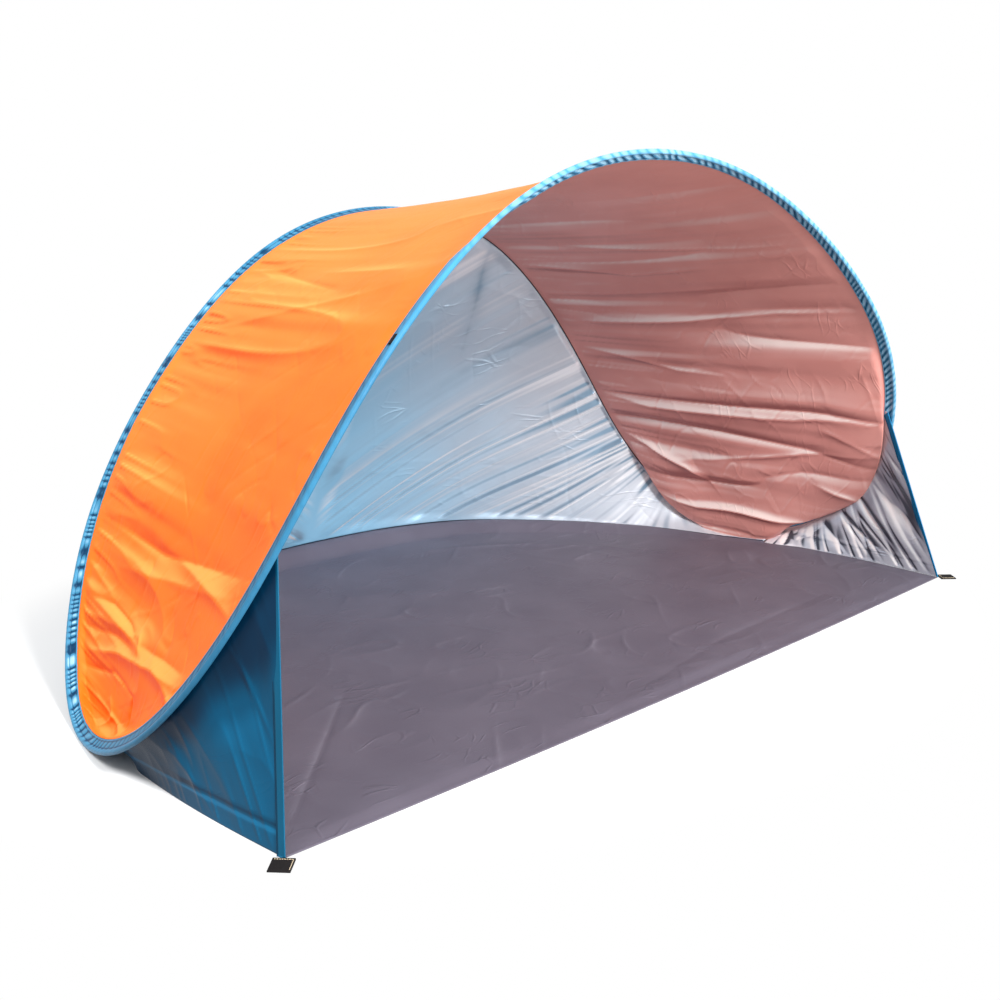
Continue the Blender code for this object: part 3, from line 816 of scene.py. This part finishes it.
# Creases: points as steps from the top and shares from front to rear, then height outward and width in mm
right_creases = (
    (((6.1, 0.85), (7.5, 0.51), (8.6, 0.21), (9.2, 0.0)), -2, 11),
    (((7.3, 1.0), (8.1, 0.80), (9.0, 0.60), (9.3, 0.35)), -3, 12),
    (((9.4, 1.0), (9.9, 0.75), (10.8, 0.3)), -2, 10),
    (((11.1, 1.0), (11.5, 0.80), (12.1, 0.53), (12.6, 0.24), (13.3, 0.03)), -4, 13),
    (((12.6, 1.0), (13.5, 0.83), (14.7, 0.65), (15.3, 0.50)), -3, 10),
    (((15.4, 1.0), (16.5, 0.81), (17.3, 0.53), (18.0, 0.30), (18.4, 0.02)), -4, 11),
    (((17.8, 1.0), (18.6, 0.90), (19.9, 0.77), (21.0, 0.70)), -8, 12),
    (((19.5, 0.78), (20.1, 0.0)), -2.5, 8),
    (((20.9, 1.0), (22.1, 0.83), (23.2, 0.55), (24.8, 0.2)), -8, 14),
    (((18.6, 0.22), (19.5, 0.11), (20.5, 0.0)), -3, 8),
    (((21.6, 0.25), (22.4, 0.12), (23.4, 0.0)), -6, 12),
)
left_creases = (
    (((8.0, 0.60), (9.1, 0.18)), 2.5, 24),
    (((7.2, 0.88), (9.4, 0.41)), -3, 15),
    (((10.3, 1.0), (9.9, 0.07)), 1.5, 14),
    (((17.3, 1.0), (18.5, 0.6), (19.3, 0.05)), -6, 26),
    (((19.0, 0.85), (19.4, 0.48), (19.9, 0.1)), 4, 26),
    (((20.0, 1.0), (20.3, 0.80), (20.9, 0.66), (21.3, 0.60)), -5, 12),
    (((20.7, 1.0), (20.8, 0.84), (21.2, 0.66)), 5, 16),
    (((21.1, 1.0), (21.3, 0.74), (21.7, 0.60)), -4, 11),
    (((22.0, 1.0), (21.9, 0.70), (22.3, 0.38), (22.8, 0.14)), 7, 18),
    (((21.5, 0.55), (21.9, 0.35), (22.3, 0.16)), -4, 16),
    (((22.9, 0.14), (23.8, 0.12), (25.0, 0.22)), 4, 12),
    (((22.6, 1.0), (22.6, 0.72), (23.3, 0.52), (25.2, 0.55)), -6, 11),
    (((23.4, 0.74), (24.4, 0.70), (25.3, 0.84)), 4, 12),
    (((24.4, 0.08), (21.6, 0.04)), 3, 10),
)
print("creases on the roof:", len(left_creases), "on the left,", len(right_creases), "on the right")


# %% Course of the roof cloth
def side_of(step):
    return np.where(step < 0, -1.0, 1.0)


def mirror_step(step):
    """The step on the rear arch that faces a step on the front arch."""
    return side_of(step) * (last_step - np.abs(step))


def roof_base(step, share):
    """The roof without folds: share runs from the front arch (0) to the rear arch (1)."""
    side = side_of(step)
    front = on_loop(step, roof_edge, gathers(step, roof_edge) * np.exp(-share * 12))
    facing = mirror_step(step)
    rear = on_loop(facing, roof_edge, gathers(facing, roof_edge) * np.exp(-(1 - share) * 12))
    point = (1 - share)[..., None] * front + share[..., None] * rear
    high = smooth((np.abs(step) / roof_end - spine_share / 2) / (1 - spine_share / 2))
    first = on_loop(side * roof_end, roof_edge)
    final = on_loop(side * (last_step - roof_end), roof_edge)
    end = on_loop(side * (roof_end + roof_open * share), roof_edge)
    lift = end - (1 - share)[..., None] * first - share[..., None] * final
    return point + (high**2)[..., None] * lift


# %% Fold the roof
def roof_folds(step, share):
    """Height of the folds, outward from the base."""
    reach = np.abs(step) / roof_end
    slope = 1.6 + 0.10 * np.abs(step)
    course = np.abs(step) - slope * (1 - share)
    seed = np.where(step < 0, 40.0, 0.0)
    lively = smooth((np.abs(step) - 1) / 6)
    broad = 5.0 * drift(course / 2.2 + seed, share * 0.9, 11)
    soft = 4.5 * drift(course / 1.05 + seed, share * 1.1, 15) * (0.55 + 0.45 * share)
    long_folds = 5.0 * pinched(course / 1.6 + seed, share * 1.3, 12) * (0.35 + reach)
    fine_folds = 4.2 * drift(course / 0.42 + seed, share * 1.2, 13) * (0.25 + 0.9 * share**1.5)
    fine_folds = fine_folds * np.where(step < 0, 0.45, 1)
    gather = 3.4 * pinched(course / 0.34 + seed, share * 3, 14)
    near_rear = np.exp(-(1 - share) / 0.12) * np.where(step < 0, 2.0, 1)
    near_front = 0.4 * np.exp(-share / 0.06)
    waves = lively * (broad + soft + long_folds + fine_folds + gather * (near_rear + near_front) - 4) * MM
    for side, creases in ((-1, left_creases), (1, right_creases)):
        on_side = side_of(step) == side
        for points, depth, width in creases:
            places = [(c * step_length, s * roof_width) for c, s in points]
            made = crease(np.abs(step) * step_length, share * roof_width, places, depth * MM, width * MM)
            waves = waves + np.where(on_side, made, 0)
    return waves


def fold_light(height, spacing, strength):
    """Relief for the colour: bright where a fold turns up towards the light, dark where it turns down."""
    slope = np.gradient(height, axis=1) / spacing
    return np.clip(strength * slope, -1, 1)


# %% Let the slack ends of the roof hang
roll_in, roll_front, roll_down = 16 * MM, 30 * MM, 30 * MM
left_roll_share = 0.3
roll_corner, roll_end_share = 25 * MM, 0.9
roll_turn = 24 * MM
roll_hold, roll_fade = 40 * MM, 150 * MM
flat_steps = 4


def roof_roll(base, step, share):
    """The slack ends hang over the seam as a soft roll beside the border; on the left it is held flatter."""
    reach = np.abs(step)
    end_distance = (roof_end - reach) * step_length * roll_end_share
    length = np.linalg.norm(base[-1] - base[0], axis=-1)[None, :]
    edge_distance = np.minimum(share, 1 - share) * length
    nearness = np.exp(-end_distance / roll_corner) + np.exp(-edge_distance / roll_corner)
    distance = np.maximum(-roll_corner * np.log(nearness), 0)
    shape = smooth(distance / roll_turn) * (1 - 0.8 * smooth((distance - roll_hold) / roll_fade))
    near_end = smooth((reach - roof_end + flat_steps) / flat_steps)
    shape = shape * (1 - (1 - smooth((share - 0.3) / 0.3)) * near_end)
    start = 18 - 4.5 * (1 - share) * (step > 0)
    amount = shape * smooth((reach - start) / (4 + 3.5 * (1 - share)))
    amount = amount * np.where(step < 0, left_roll_share, 1)
    inward = roll_in * np.where(step < 0, 1, 1.6 * share - 0.6)
    way = np.stack([-side_of(step) * inward, -roll_front * (1 - share), -roll_down + 0 * share], axis=-1)
    return amount[..., None] * way


# %% Make the roof
def make_roof():
    columns = np.linspace(-roof_end, roof_end, 2 * roof_end * roof_fineness + 1)
    even = np.linspace(0, 1, roof_rows)
    rows = 0.6 * even + 0.4 * (0.5 - 0.5 * np.cos(math.pi * even))
    step, share = np.meshgrid(columns, rows)
    base = roof_base(step, share)
    out_way = square_to(base, 1, 0)
    window = np.sin(math.pi * share)
    reach = np.abs(step) / roof_end
    rim = 1 - smooth((reach - 0.94) / 0.06)
    edges = smooth(share / 0.04) * smooth((1 - share) / 0.04) * rim
    height = -roof_sag * window * rim + roof_folds(step, share) * edges * window**0.4
    bulge = smooth((reach - 0.5) / 0.3) * window * rim
    grid = base + out_way * (height - end_bulge * bulge)[..., None] + roof_roll(base, step, share)
    wrinkles = crumple(arc_length(step), share * crumpled_width, 50)
    crinkle = (0.5 + 0.9 * smooth((reach - 0.4) / 0.3)) * MM * wrinkles * edges
    grid = grid + out_way * crinkle[..., None]
    grid[..., 2] = np.maximum(grid[..., 2], roof_lowest)
    front_tuck, rear_tuck = on_loop(columns, roof_tuck), on_loop(mirror_step(columns), roof_tuck)
    body = np.concatenate([front_tuck[None], grid, rear_tuck[None]])
    lengths = lengths_down(body, np.mean)
    lengths_across = arc_length(columns)
    panel = np.stack(np.meshgrid(lengths_across, lengths), axis=-1)
    # Painted light: the folds are painted bright or dark by their slope, as light from above falls on them.
    painted_light = fold_light(height + crinkle, step_length / roof_fineness, 3.0) * side_of(step)
    painted_light = np.pad(painted_light, ((1, 1), (0, 0)))
    piece = cloth_sheet("roof_cloth", body, cloth_thickness, [orange, orange_inside], panel, painted_light=painted_light)
    area = area_of(body)
    print("roof cloth:", round(area, 3), "square metres")
    return piece, (lengths_across[-1] - lengths_across[0], lengths[-1]), area


roof_cloth, roof_flat, roof_area = make_roof()

# %% [markdown]
# ## The rear wall
# The wall hangs from the rear seam and slopes down to the floor. Pulled between its low middle and the
# two ends of the arch, it folds along lines that fan out from the middle of its foot. Towards the ends,
# where it becomes narrow, the seam draws it into tight pleats. Folds drawn one by one would take long
# tables, so each place is traced down the fan to the foot, and the folds are hills over that one number.

# %% Course of the seam between wall and floor
floor_half_width, floor_depth = 0.896, 1.165
seam_height = 27 * MM
seam_low_share = 0.12
floor_skin = 0.6 * MM
seam_shares = (
    (0.00, 1.000),
    (0.16, 0.992),
    (0.30, 0.968),
    (0.45, 0.908),
    (0.57, 0.804),
    (0.69, 0.655),
    (0.77, 0.541),
    (0.85, 0.396),
    (0.91, 0.240),
    (0.975, 0.012),
)


def open_spline(stations, t):
    """The cubic spline through the stations, free at both ends."""
    count = len(stations)
    weights = np.eye(count)
    for k in range(1, count - 1):
        weights[k, k - 1 : k + 2] = 1 / 6, 4 / 6, 1 / 6
    control = np.linalg.solve(weights, stations)
    control = np.vstack([2 * control[0] - control[1], control, 2 * control[-1] - control[-2]])
    first = np.minimum(np.floor(t).astype(int), count - 2)
    u = (t - first)[..., None]
    blend = ((1 - u) ** 3, 3 * u**3 - 6 * u**2 + 4, -3 * u**3 + 3 * u**2 + 3 * u + 1, u**3)
    return sum(share * control[first + k] for k, share in enumerate(blend)) / 6


def seam_point(reach):
    """The floor's rear seam, from the left end (-1) over the middle of the back (0) to the right end (1)."""
    size = np.abs(reach)
    span = np.array([floor_half_width, floor_depth - fold_y])
    course = open_spline(np.array(seam_shares) * span, size * (len(seam_shares) - 1))
    across, back = np.moveaxis(course, -1, 0)
    fall = np.maximum(np.sqrt(1 - smooth(size)), seam_low_share)
    height = floor_skin + (seam_height - floor_skin) * fall
    return np.stack([np.sign(reach) * across, fold_y + back, height], axis=-1) + shift


# %% Fold the rear wall
wall_sag = 12 * MM
wall_end = steps
wall_fineness, wall_rows = 18, 201
wall_half_length = 1.2
fan_spread, fan_turn = 1.65, 0.4
painted_wall_highlight = ((0.29, 0.80), (0.31, 0.46))


def fan_course(x, z):
    """Where the straight fold through a place meets the foot.

    Folds lean far at the middle and less at the sides.
    """
    rise = z - seam_height
    turning = fan_spread + 2.7 * fan_turn
    at_side = (x - turning * rise) / np.maximum(1 - 2.7 * rise, 0.2)
    return np.where(x < fan_turn + fan_spread * rise, x - fan_spread * rise, at_side)


def wall_folds(place, reach, share):
    """Folds that lean from the middle of the foot up to the sides, and pleats towards the ends."""
    size = np.abs(reach)
    seed = np.where(reach < 0, 30.0, 0.0)
    x, z = np.abs(place[..., 0]), place[..., 2]
    course = fan_course(x, z)
    lively = smooth((course + 0.22) / 0.25)
    broad = 9.0 * drift(course / 0.13 + seed, share * 1.1, 20)
    long_folds = 6.5 * (drift(course / 0.034 + seed, share * 0.7, 21) ** 2 - 0.3) * (0.1 + 0.9 * lively)
    fine_folds = 2.6 * drift(course / 0.017 + seed, share * 1.1, 22) * (0.15 + 0.85 * lively)
    pleat = drift(course / 0.0085 + seed, share * 0.9, 24)
    tight = smooth((size - 0.4) / 0.35)
    at_foot = np.exp(-(1 - share) / 0.45)
    at_top = np.exp(-share / 0.10)
    small = pleat * (2.4 * at_foot * tight + 1.2 * at_top * (0.3 + 0.7 * tight))
    return (broad + long_folds + fine_folds + small) * MM * smooth(x / (60 * MM))


# %% Make the rear wall
def make_wall():
    columns = np.linspace(-wall_end, wall_end, 2 * steps * wall_fineness + 1)
    reach, share = np.meshgrid(columns / wall_end, np.linspace(0, 1, wall_rows))
    step = mirror_step(columns)
    top = on_loop(step, flange_width - 0.4 * MM, -1.5 * MM)
    foot = seam_point(columns / wall_end) + np.array([0, 0, 1.1 * MM])
    base = (1 - share)[..., None] * top + share[..., None] * foot
    out_way = square_to(base)
    window = np.sin(math.pi * share)
    folds = wall_folds(base, reach, share) * smooth(share / 0.04) * smooth((1 - share) / 0.04)
    depth = folds - wall_sag * (1 - reach**2) * window
    narrow = np.linalg.norm(foot - top, axis=-1) / 0.25
    crease_height = 1.1 * MM * crumple(base[..., 0], base[..., 2], 60, 55 * MM) * smooth((1 - share) / 0.05)
    grid = base + out_way * ((depth + crease_height) * np.minimum(1, narrow))[..., None]
    tuck = on_loop(step, 14 * MM, -1.6 * MM)
    body = np.concatenate([tuck[None], grid])
    lengths = lengths_down(body)
    widths = lengths_along(foot)
    panel = np.stack([body[..., 0], body[..., 2]], axis=-1)
    width = wall_half_length / (steps * wall_fineness)
    # Painted light: the folds are painted bright or dark by their slope, and a painted highlight streak runs
    # along the band's points.
    band = crease(np.abs(base[..., 0]), base[..., 2], painted_wall_highlight, 0.5, 16 * MM)
    painted_light = np.pad(fold_light(folds, width, 2.4) * side_of(reach) + band, ((1, 0), (0, 0)))
    piece = cloth_sheet("rear_wall_cloth", body, cloth_thickness, [blue, silver], panel, painted_light=painted_light)
    area = area_of(body)
    print("rear wall:", round(area, 3), "square metres")
    return piece, (widths[-1], lengths[-1]), area


rear_wall_cloth, wall_flat, wall_area = make_wall()

# %% [markdown]
# ## The wings
# Each wing is a small triangle between the front arch and the ground. Its straight front edge is taped, and
# the band along its foot is drawn only in paint, as a painted highlight line with a painted shadow above it.
# The left one is seen from outside, in the shade and nearly smooth, and the right one from inside, in deep
# bright folds: the left one's shade is painted into its colour, and on both the folds are painted bright or
# dark by their slope. One function makes both, with other strengths on each side.

# %% Sizes of the wings
wing_top = 0.657 * steps
wing_end = steps
band_height = 27 * MM
side_edge_bow = 10 * MM
foot_lift = 0.5 * MM
wing_columns, wing_rows = 150, 170
wing_length = 0.42
print("a wing runs over", round((wing_end - wing_top) * step_length, 3), "m of the loop")


def foot_line(y):
    """Half width at the foot, which draws in at the back to meet the end of the wall's seam."""
    share = np.clip(y / fold_y, 0, 1)
    draw_in = floor_half_width * (1 - seam_shares[-1][0]) * smooth((share - 0.8) / 0.2)
    return floor_half_width + side_edge_bow * np.sin(math.pi * share) - draw_in


# %% Make a wing
def make_wing(word, side):
    """The wing, its flat size and area, its front edge and the way from that edge into the wing."""
    broad_share, fine_share = (0.4, 0.3) if side < 0 else (1, 1)
    contrast, hem_contrast = (2.0, 0.9) if side < 0 else (3.6, 0.3)
    columns = np.linspace(wing_top, wing_end, wing_columns)
    foot_end = (seam_point(1) - shift)[1]
    share = (columns - wing_top) / (wing_end - wing_top)
    y = foot_end * share
    x = foot_line(y)
    foot = np.stack([x * side, y, np.full_like(y, foot_lift)], axis=-1) + shift
    turn = on_loop(side * columns, 11 * MM, -4.2 * MM)
    sewn = on_loop(side * columns, 17 * MM, -1.6 * MM)
    along, depth = np.meshgrid(share, np.linspace(0, 1, wing_rows))
    base = (1 - depth)[..., None] * turn + depth[..., None] * foot
    side_way = square_to(base)
    side_way = side_way * np.sign(side_way[..., :1]) * side
    swell = np.sin(math.pi * depth) * smooth(along / 0.12) * smooth((1 - along) / 0.1)
    lean = depth * (1 - along)

    def course(folds, leaning):
        return along * folds + leaning * lean + 40 + 20 * side

    fan = 0.8 * drift(course(6, 3), depth * 1.2, 30)
    fan = fan + pinched(course(9, 4), depth * 0.7, 31) * broad_share
    fan = fan + 0.5 * pinched(course(20, 8), depth * 0.8, 32) * fine_share - 0.4
    pleat = pinched(course(34, 10), depth * 0.8, 33) * np.exp(-(1 - depth) / 0.6) * fine_share
    height = (8 * fan * swell + 3.6 * pleat * smooth((1 - depth) / 0.04) * smooth(along / 0.12)) * MM
    room = np.minimum(1, np.linalg.norm(foot - turn, axis=-1) / 0.15)
    grid = base + side_way * (height * room)[..., None]
    body = np.concatenate([sewn[None], grid])
    lengths = lengths_down(body)
    widths = lengths_along(foot)
    panel = np.stack(np.meshgrid(widths, lengths), axis=-1)
    # Painted light: the left wing's top and back are painted in shade and its lower front lit, the hem is a
    # painted highlight line with a painted shadow above it, and the folds are painted bright or dark by their
    # slope.
    lit = smooth((depth - 0.2) / 0.35) * (1 - smooth((along - 0.3) / 0.4))
    shade = 0.85 - 1.15 * lit if side < 0 else 0
    hem_highlight = np.exp(-(((base[..., 2] - band_height) / (3 * MM)) ** 2))
    hem_shadow = np.exp(-(((base[..., 2] - band_height - 8 * MM) / (4 * MM)) ** 2))
    light = fold_light(height, wing_length / wing_columns, contrast)
    painted_light = light - shade + (hem_highlight - hem_shadow) * hem_contrast
    painted_light = np.pad(np.clip(painted_light, -1, 1), ((1, 0), (0, 0)))
    finishes = [blue, wing_silver]
    piece = cloth_sheet(f"{word}_wing_cloth", body, cloth_thickness, finishes, panel, False, side > 0, painted_light)
    middle = wing_rows // 2
    inward = unit(grid[middle, 8] - grid[middle, 0])
    return piece, (widths[-1], lengths[-1]), area_of(body), grid[:, 0], inward


# %% Tape the front edges
def make_edge_tape(word, edge, inward):
    """A tape folded over the wing's front edge, with two stitched grooves."""
    width, layer, skin = 15 * MM, 0.9 * MM, 0.5 * MM
    down = unit(edge[-1] - edge[0])
    across = np.cross(down, inward)
    reaches = np.linspace(width, -0.6 * MM, 20)
    groove = 0.35 * MM * np.exp(-(((reaches - 12.5 * MM) / (0.9 * MM)) ** 2))
    outer = [inward * r + across * (layer - g) for r, g in zip(reaches, groove)]
    inner = [inward * r - across * (layer - g) for r, g in zip(reaches[::-1], groove[::-1])]
    section = np.array(outer + [inward * -1.1 * MM] + inner)
    grid = edge[:, None, :] + section[None]
    grid[..., 2] = np.maximum(grid[..., 2], skin)
    along = lengths_along(section)
    length = lengths_along(edge)
    panel = np.stack(np.meshgrid(along, length), axis=-1)
    # Painted shade in the stitched grooves and along the tape's edges.
    groove_shade = np.concatenate([groove, [0], groove[::-1]]) / (0.35 * MM)
    groove_shade[[0, 1, -2, -1]] = 1
    # The left tape takes the copy with painted shade, the right one the copy with painted light.
    finish = shaded_trim if word == "left" else lit_trim
    return cloth_sheet(f"{word}_edge_tape", grid, cloth_thickness, [finish], panel, painted_light=-groove_shade[None])


wings = {}
for word, side in (("left", -1), ("right", 1)):
    wing, flat, area, edge, inward = make_wing(word, side)
    wings[word] = (wing, flat, area, make_edge_tape(word, edge, inward))
    print(word, "wing:", round(area, 4), "square metres")

# %% [markdown]
# ## The floor
# The floor is one cloth. Its front edge bows a little forward, its sides meet the wings, and at the back
# it rises into a low rim where the wall is sewn on. It lies on the ground, so it needs no simulation: it is
# flat, soft waves lift it by a few millimetres, and some creases are kept from its bag.

# %% Make the floor
front_edge_bow = 13 * MM
floor_creases = (
    (((-0.85, -0.51), (-0.68, -0.35), (-0.48, -0.16)), -1.0, 9),
    (((0.23, 0.42), (0.43, 0.30), (0.56, 0.12), (0.66, -0.08)), 2.2, 14),
    (((0.38, 0.13), (0.55, 0.02), (0.61, -0.17), (0.64, -0.36)), -1.2, 20),
    (((-0.19, 0.27), (-0.01, 0.18), (0.10, -0.01)), 1.0, 22),
    (((-0.18, -0.53), (0.19, -0.47), (0.70, -0.45)), -1.0, 18),
)
rim_width, rim_most = 80 * MM, 0.75
floor_columns, front_rows, rear_rows = 361, 100, 140
floor_lift = 1.4 * MM


def make_floor():
    reach = np.linspace(-1, 1, floor_columns)
    across, ahead = np.meshgrid(reach, np.linspace(0, 1, front_rows))
    y = fold_y * ahead
    x = (foot_line(y) - 2 * MM) * across
    y = y - front_edge_bow * (1 - across**2) * (1 - ahead)
    front = np.stack([x, y, np.full_like(x, floor_skin)], axis=-1) + shift
    edge = seam_point(reach)
    start = front[-1]
    across, back = np.meshgrid(reach, np.linspace(0, 1, rear_rows)[1:])
    rear = (1 - back)[..., None] * start + back[..., None] * edge
    room = np.maximum(edge[:, 1] - start[:, 1], 5 * MM)
    rim_share = np.minimum(rim_most, rim_width / room)
    rim = smooth((back - 1 + rim_share) / rim_share)
    rear[..., 2] = floor_skin + (edge[:, 2] - floor_skin) * rim
    body = np.concatenate([front, rear])
    place = body - shift
    wave = drift(place[..., 0] * 5, place[..., 1] * 7, 41)
    wave = wave + 0.5 * drift(place[..., 0] * 14, place[..., 1] * 16, 42)
    calm = smooth(place[..., 1] / 0.03) * (1 - smooth(np.abs(body[..., 0]) / floor_half_width * 20 - 19))
    wave = wave + 0.9 * np.abs(crumple(place[..., 0], place[..., 1], 70, 80 * MM))
    lift = floor_lift * (wave + 1.4)
    for points, height, width in floor_creases:
        lift = lift + crease(body[..., 0], body[..., 1], points, height * MM, width * MM)
    body[..., 2] += np.maximum(lift, 0) * calm * (1 - 0.6 * smooth((place[..., 1] - 1.0) / 0.1))
    panel = place[..., :2]
    # Painted light: the floor's waves and creases are painted bright or dark by their slope.
    slope = np.gradient(lift, axis=0) / 7 - np.gradient(lift, axis=1) / 10
    painted_light = np.clip(slope / MM * 5, -1, 1)
    piece = cloth_sheet("floor_cloth", body, 0.6 * MM, [grey, grey], panel, painted_light=painted_light)
    area = area_of(body)
    print("floor:", round(area, 3), "square metres")
    return piece, area, np.ptp(body[..., 0]), np.ptp(body[..., 1])


floor_cloth, floor_area, floor_wide, floor_long = make_floor()

# %% [markdown]
# ## The piping
# A dark line shows along the floor seam and along the rear arch inside: piping, darkened by the shade in the
# seam. A line in the finish of the wall could stand for it, but a thin rod on the course of the seam catches
# the light as real piping does; its near-black colour is partly painted seam shade.

# %% Piping along the seams
floor_piping_radius, arch_piping_radius = 1.1 * MM, 0.9 * MM
floor_seam = seam_point(np.linspace(-0.999, 0.999, 400)) + np.array([0, -1.2 * MM, 1.6 * MM])
floor_piping = rods("floor_seam_piping", [floor_seam], floor_piping_radius, piping_and_seam_shade)
arch_steps = np.concatenate([np.linspace(-30, -55.9, 300), np.linspace(55.9, 30, 300)])
arch_seam = on_loop(arch_steps, flange_width + 1.0 * MM, -0.9 * MM)
arch_piping = rods("rear_arch_piping", [arch_seam], arch_piping_radius, piping_and_seam_shade)
print("piping:", len(floor_seam), "and", len(arch_seam), "points")

# %% [markdown]
# ## Webbing and thread
# At both front corners a short piece of black webbing, folded double, is sewn on with light thread, and a
# small closing loop of the same webbing sits on the left of the front arch. Webbing is stiff, so a plain
# strip bent round its far end is enough, with ribs in its bump. The stitches could be painted on, but
# light thread on black is what the eye finds first at the corner, so each one is a short rod.

# %% Finishes of webbing and thread
def webbing_finish():
    made = Finish("black_webbing")
    place = made.node("ShaderNodeTexCoord", output="Object")
    ribs = made.waves(place, "DIAGONAL", 170)
    fuzz = made.noise(place, 900, 3)
    height = ribs * 0.7 + fuzz * 0.3
    return made.put(
        Base_Color=made.mix(ribs, (0.006, 0.005, 0.005), (0.02, 0.018, 0.018)),
        Roughness=0.62 + fuzz * 0.2,
        Normal=made.bump(height, 0.8, 0.5 * MM),
        Specular_IOR_Level=0.08,
    )


def thread_finish():
    made = Finish("beige_thread")
    place = made.node("ShaderNodeTexCoord", output="Object")
    twist = made.noise(place, 1500, 2)
    return made.put(
        Base_Color=made.mix(twist, (0.72, 0.60, 0.42), (0.55, 0.44, 0.30)),
        Roughness=0.7 + twist * 0.1,
    )


webbing = webbing_finish()
thread = thread_finish()

# %% Corner tabs
tab_width, tab_length, tab_thickness = 30 * MM, 34 * MM, 2.4 * MM
tab_skin = 0.5 * MM


def tab_root(word):
    """Where the tab is sewn on, the way across it and the way that it points."""
    joint = next(joint for joint in frame["joints"] if joint["name"] == f"{word}_tab_hinge")
    across = np.array(joint["axis"], float)
    root = np.array(joint["pos_m"], float) * (1, 1, 0)
    way = np.array([-across[1], across[0], 0])
    return root, across, way if way[1] < 0 else -way


def make_tab(word):
    """Two layers of webbing, folded at the far end."""
    root, across, way = tab_root(word)
    half = tab_thickness / 2
    straight = tab_length - half
    profile = [(s * straight, tab_thickness - tab_skin) for s in np.linspace(0, 1, 9)]
    bend = half - tab_skin
    for a in np.linspace(math.pi / 2, -math.pi / 2, 7)[1:-1]:
        profile.append((straight + bend * math.cos(a), half + bend * math.sin(a)))
    profile += [(s * straight, tab_skin) for s in np.linspace(1, 0, 9)]
    rows = []
    for t in np.linspace(-tab_width / 2, tab_width / 2, 13):
        rows.append([root + across * t + way * reach + np.array([0, 0, height]) for reach, height in profile])
    grid = np.array(rows)
    return cloth_sheet(f"{word}_tab_webbing", grid, 1.0 * MM, [webbing], grid[..., :2])


# %% Stitch the tabs
stitch_length, stitch_gap = 2.2 * MM, 0.9 * MM
stitch_lift = (0, 0, 0.3 * MM)
thread_radius = 0.5 * MM
stitch_inset, stitch_reach = 4 * MM, 30 * MM
stitch_half = 13 * MM


def stitch_row(points):
    """Short pieces of thread along a line of points."""
    points = np.array(points)
    lengths = lengths_along(points)
    count = int(lengths[-1] / (stitch_length + stitch_gap))
    rows = []
    for n in range(count):
        stops = np.linspace(0, stitch_length, 4) + (n + 0.5) * lengths[-1] / count - stitch_length / 2
        path = np.column_stack([np.interp(stops, lengths, points[:, axis]) for axis in range(3)])
        rows.append(path + np.sin(np.linspace(0, math.pi, 4))[:, None] * np.array(stitch_lift))
    return rows


tabs = {}
for word, side in (("left", -1), ("right", 1)):
    tab = make_tab(word)
    root, across, way = tab_root(word)
    top = np.array([0, 0, tab_thickness + 0.1 * MM])
    seam_row = [root + across * t + way * stitch_inset + top for t in (-stitch_half, stitch_half)]
    edge_row = [root + across * stitch_half * side + way * s + top for s in (stitch_inset, stitch_reach)]
    stitches = stitch_row(seam_row) + stitch_row(edge_row)
    tabs[word] = (tab, rods(f"{word}_tab_thread", stitches, thread_radius, thread, sides=1, soft=False))
    print(word, "tab:", len(stitches), "stitches")

# %% Closing loop on the front arch
closing_steps = np.linspace(-12.66, -12.34, 9)
closing_section = np.array([(5 * MM, 2.6 * MM), (8 * MM, 3.2 * MM), (12 * MM, 3.0 * MM), (14 * MM, 2.2 * MM)])
closing_grid = np.stack([on_loop(closing_steps, a, b) for a, b in closing_section])
closing_panel = closing_grid[..., :2]
closing_webbing = cloth_sheet("closing_webbing", closing_grid, 1.2 * MM, [webbing], closing_panel)
print("closing loop:", round(np.ptp(closing_grid[..., 2]) * 1000, 1), "mm high")

# %% [markdown]
# ## Bodies and replaced parts
# The tapes, the tabs and their thread, the wall, the piping and the closing loop are hung on the half of the
# tent that they move with. The roof, the sleeve, the wire, the floor and the wings are baked in place. The
# pieces of the imported model that they stand for are hidden. Each sheet's flat size, as a maker would cut
# it, was worked out when it was made.

# %% Say what moves with what
for piece in (roof_cloth, loop_sleeve, loop_wire):
    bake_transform(piece)
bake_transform(floor_cloth)
for word, (wing, _, _, tape) in wings.items():
    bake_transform(wing)
    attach(tape, "front_shell")
    tab, stitches = tabs[word]
    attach(tab, f"{word}_tab")
    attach(stitches, f"{word}_tab")
for piece in (rear_wall_cloth, floor_piping, arch_piping):
    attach(piece, "rear_shell")
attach(closing_webbing, "front_shell")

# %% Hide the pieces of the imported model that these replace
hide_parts("roof_panel")
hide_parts("front_sleeve", "rear_sleeve")
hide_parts("front_wire", "rear_wire_long", "rear_wire_tail")
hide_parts("rear_wall")
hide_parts("front_floor", "rear_floor")
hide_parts("closing_loop")
for word, (wing, _, _, tape) in wings.items():
    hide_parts(f"{word}_wing")
    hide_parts(f"{word}_front_binding")
    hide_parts(f"{word}_corner_tab")
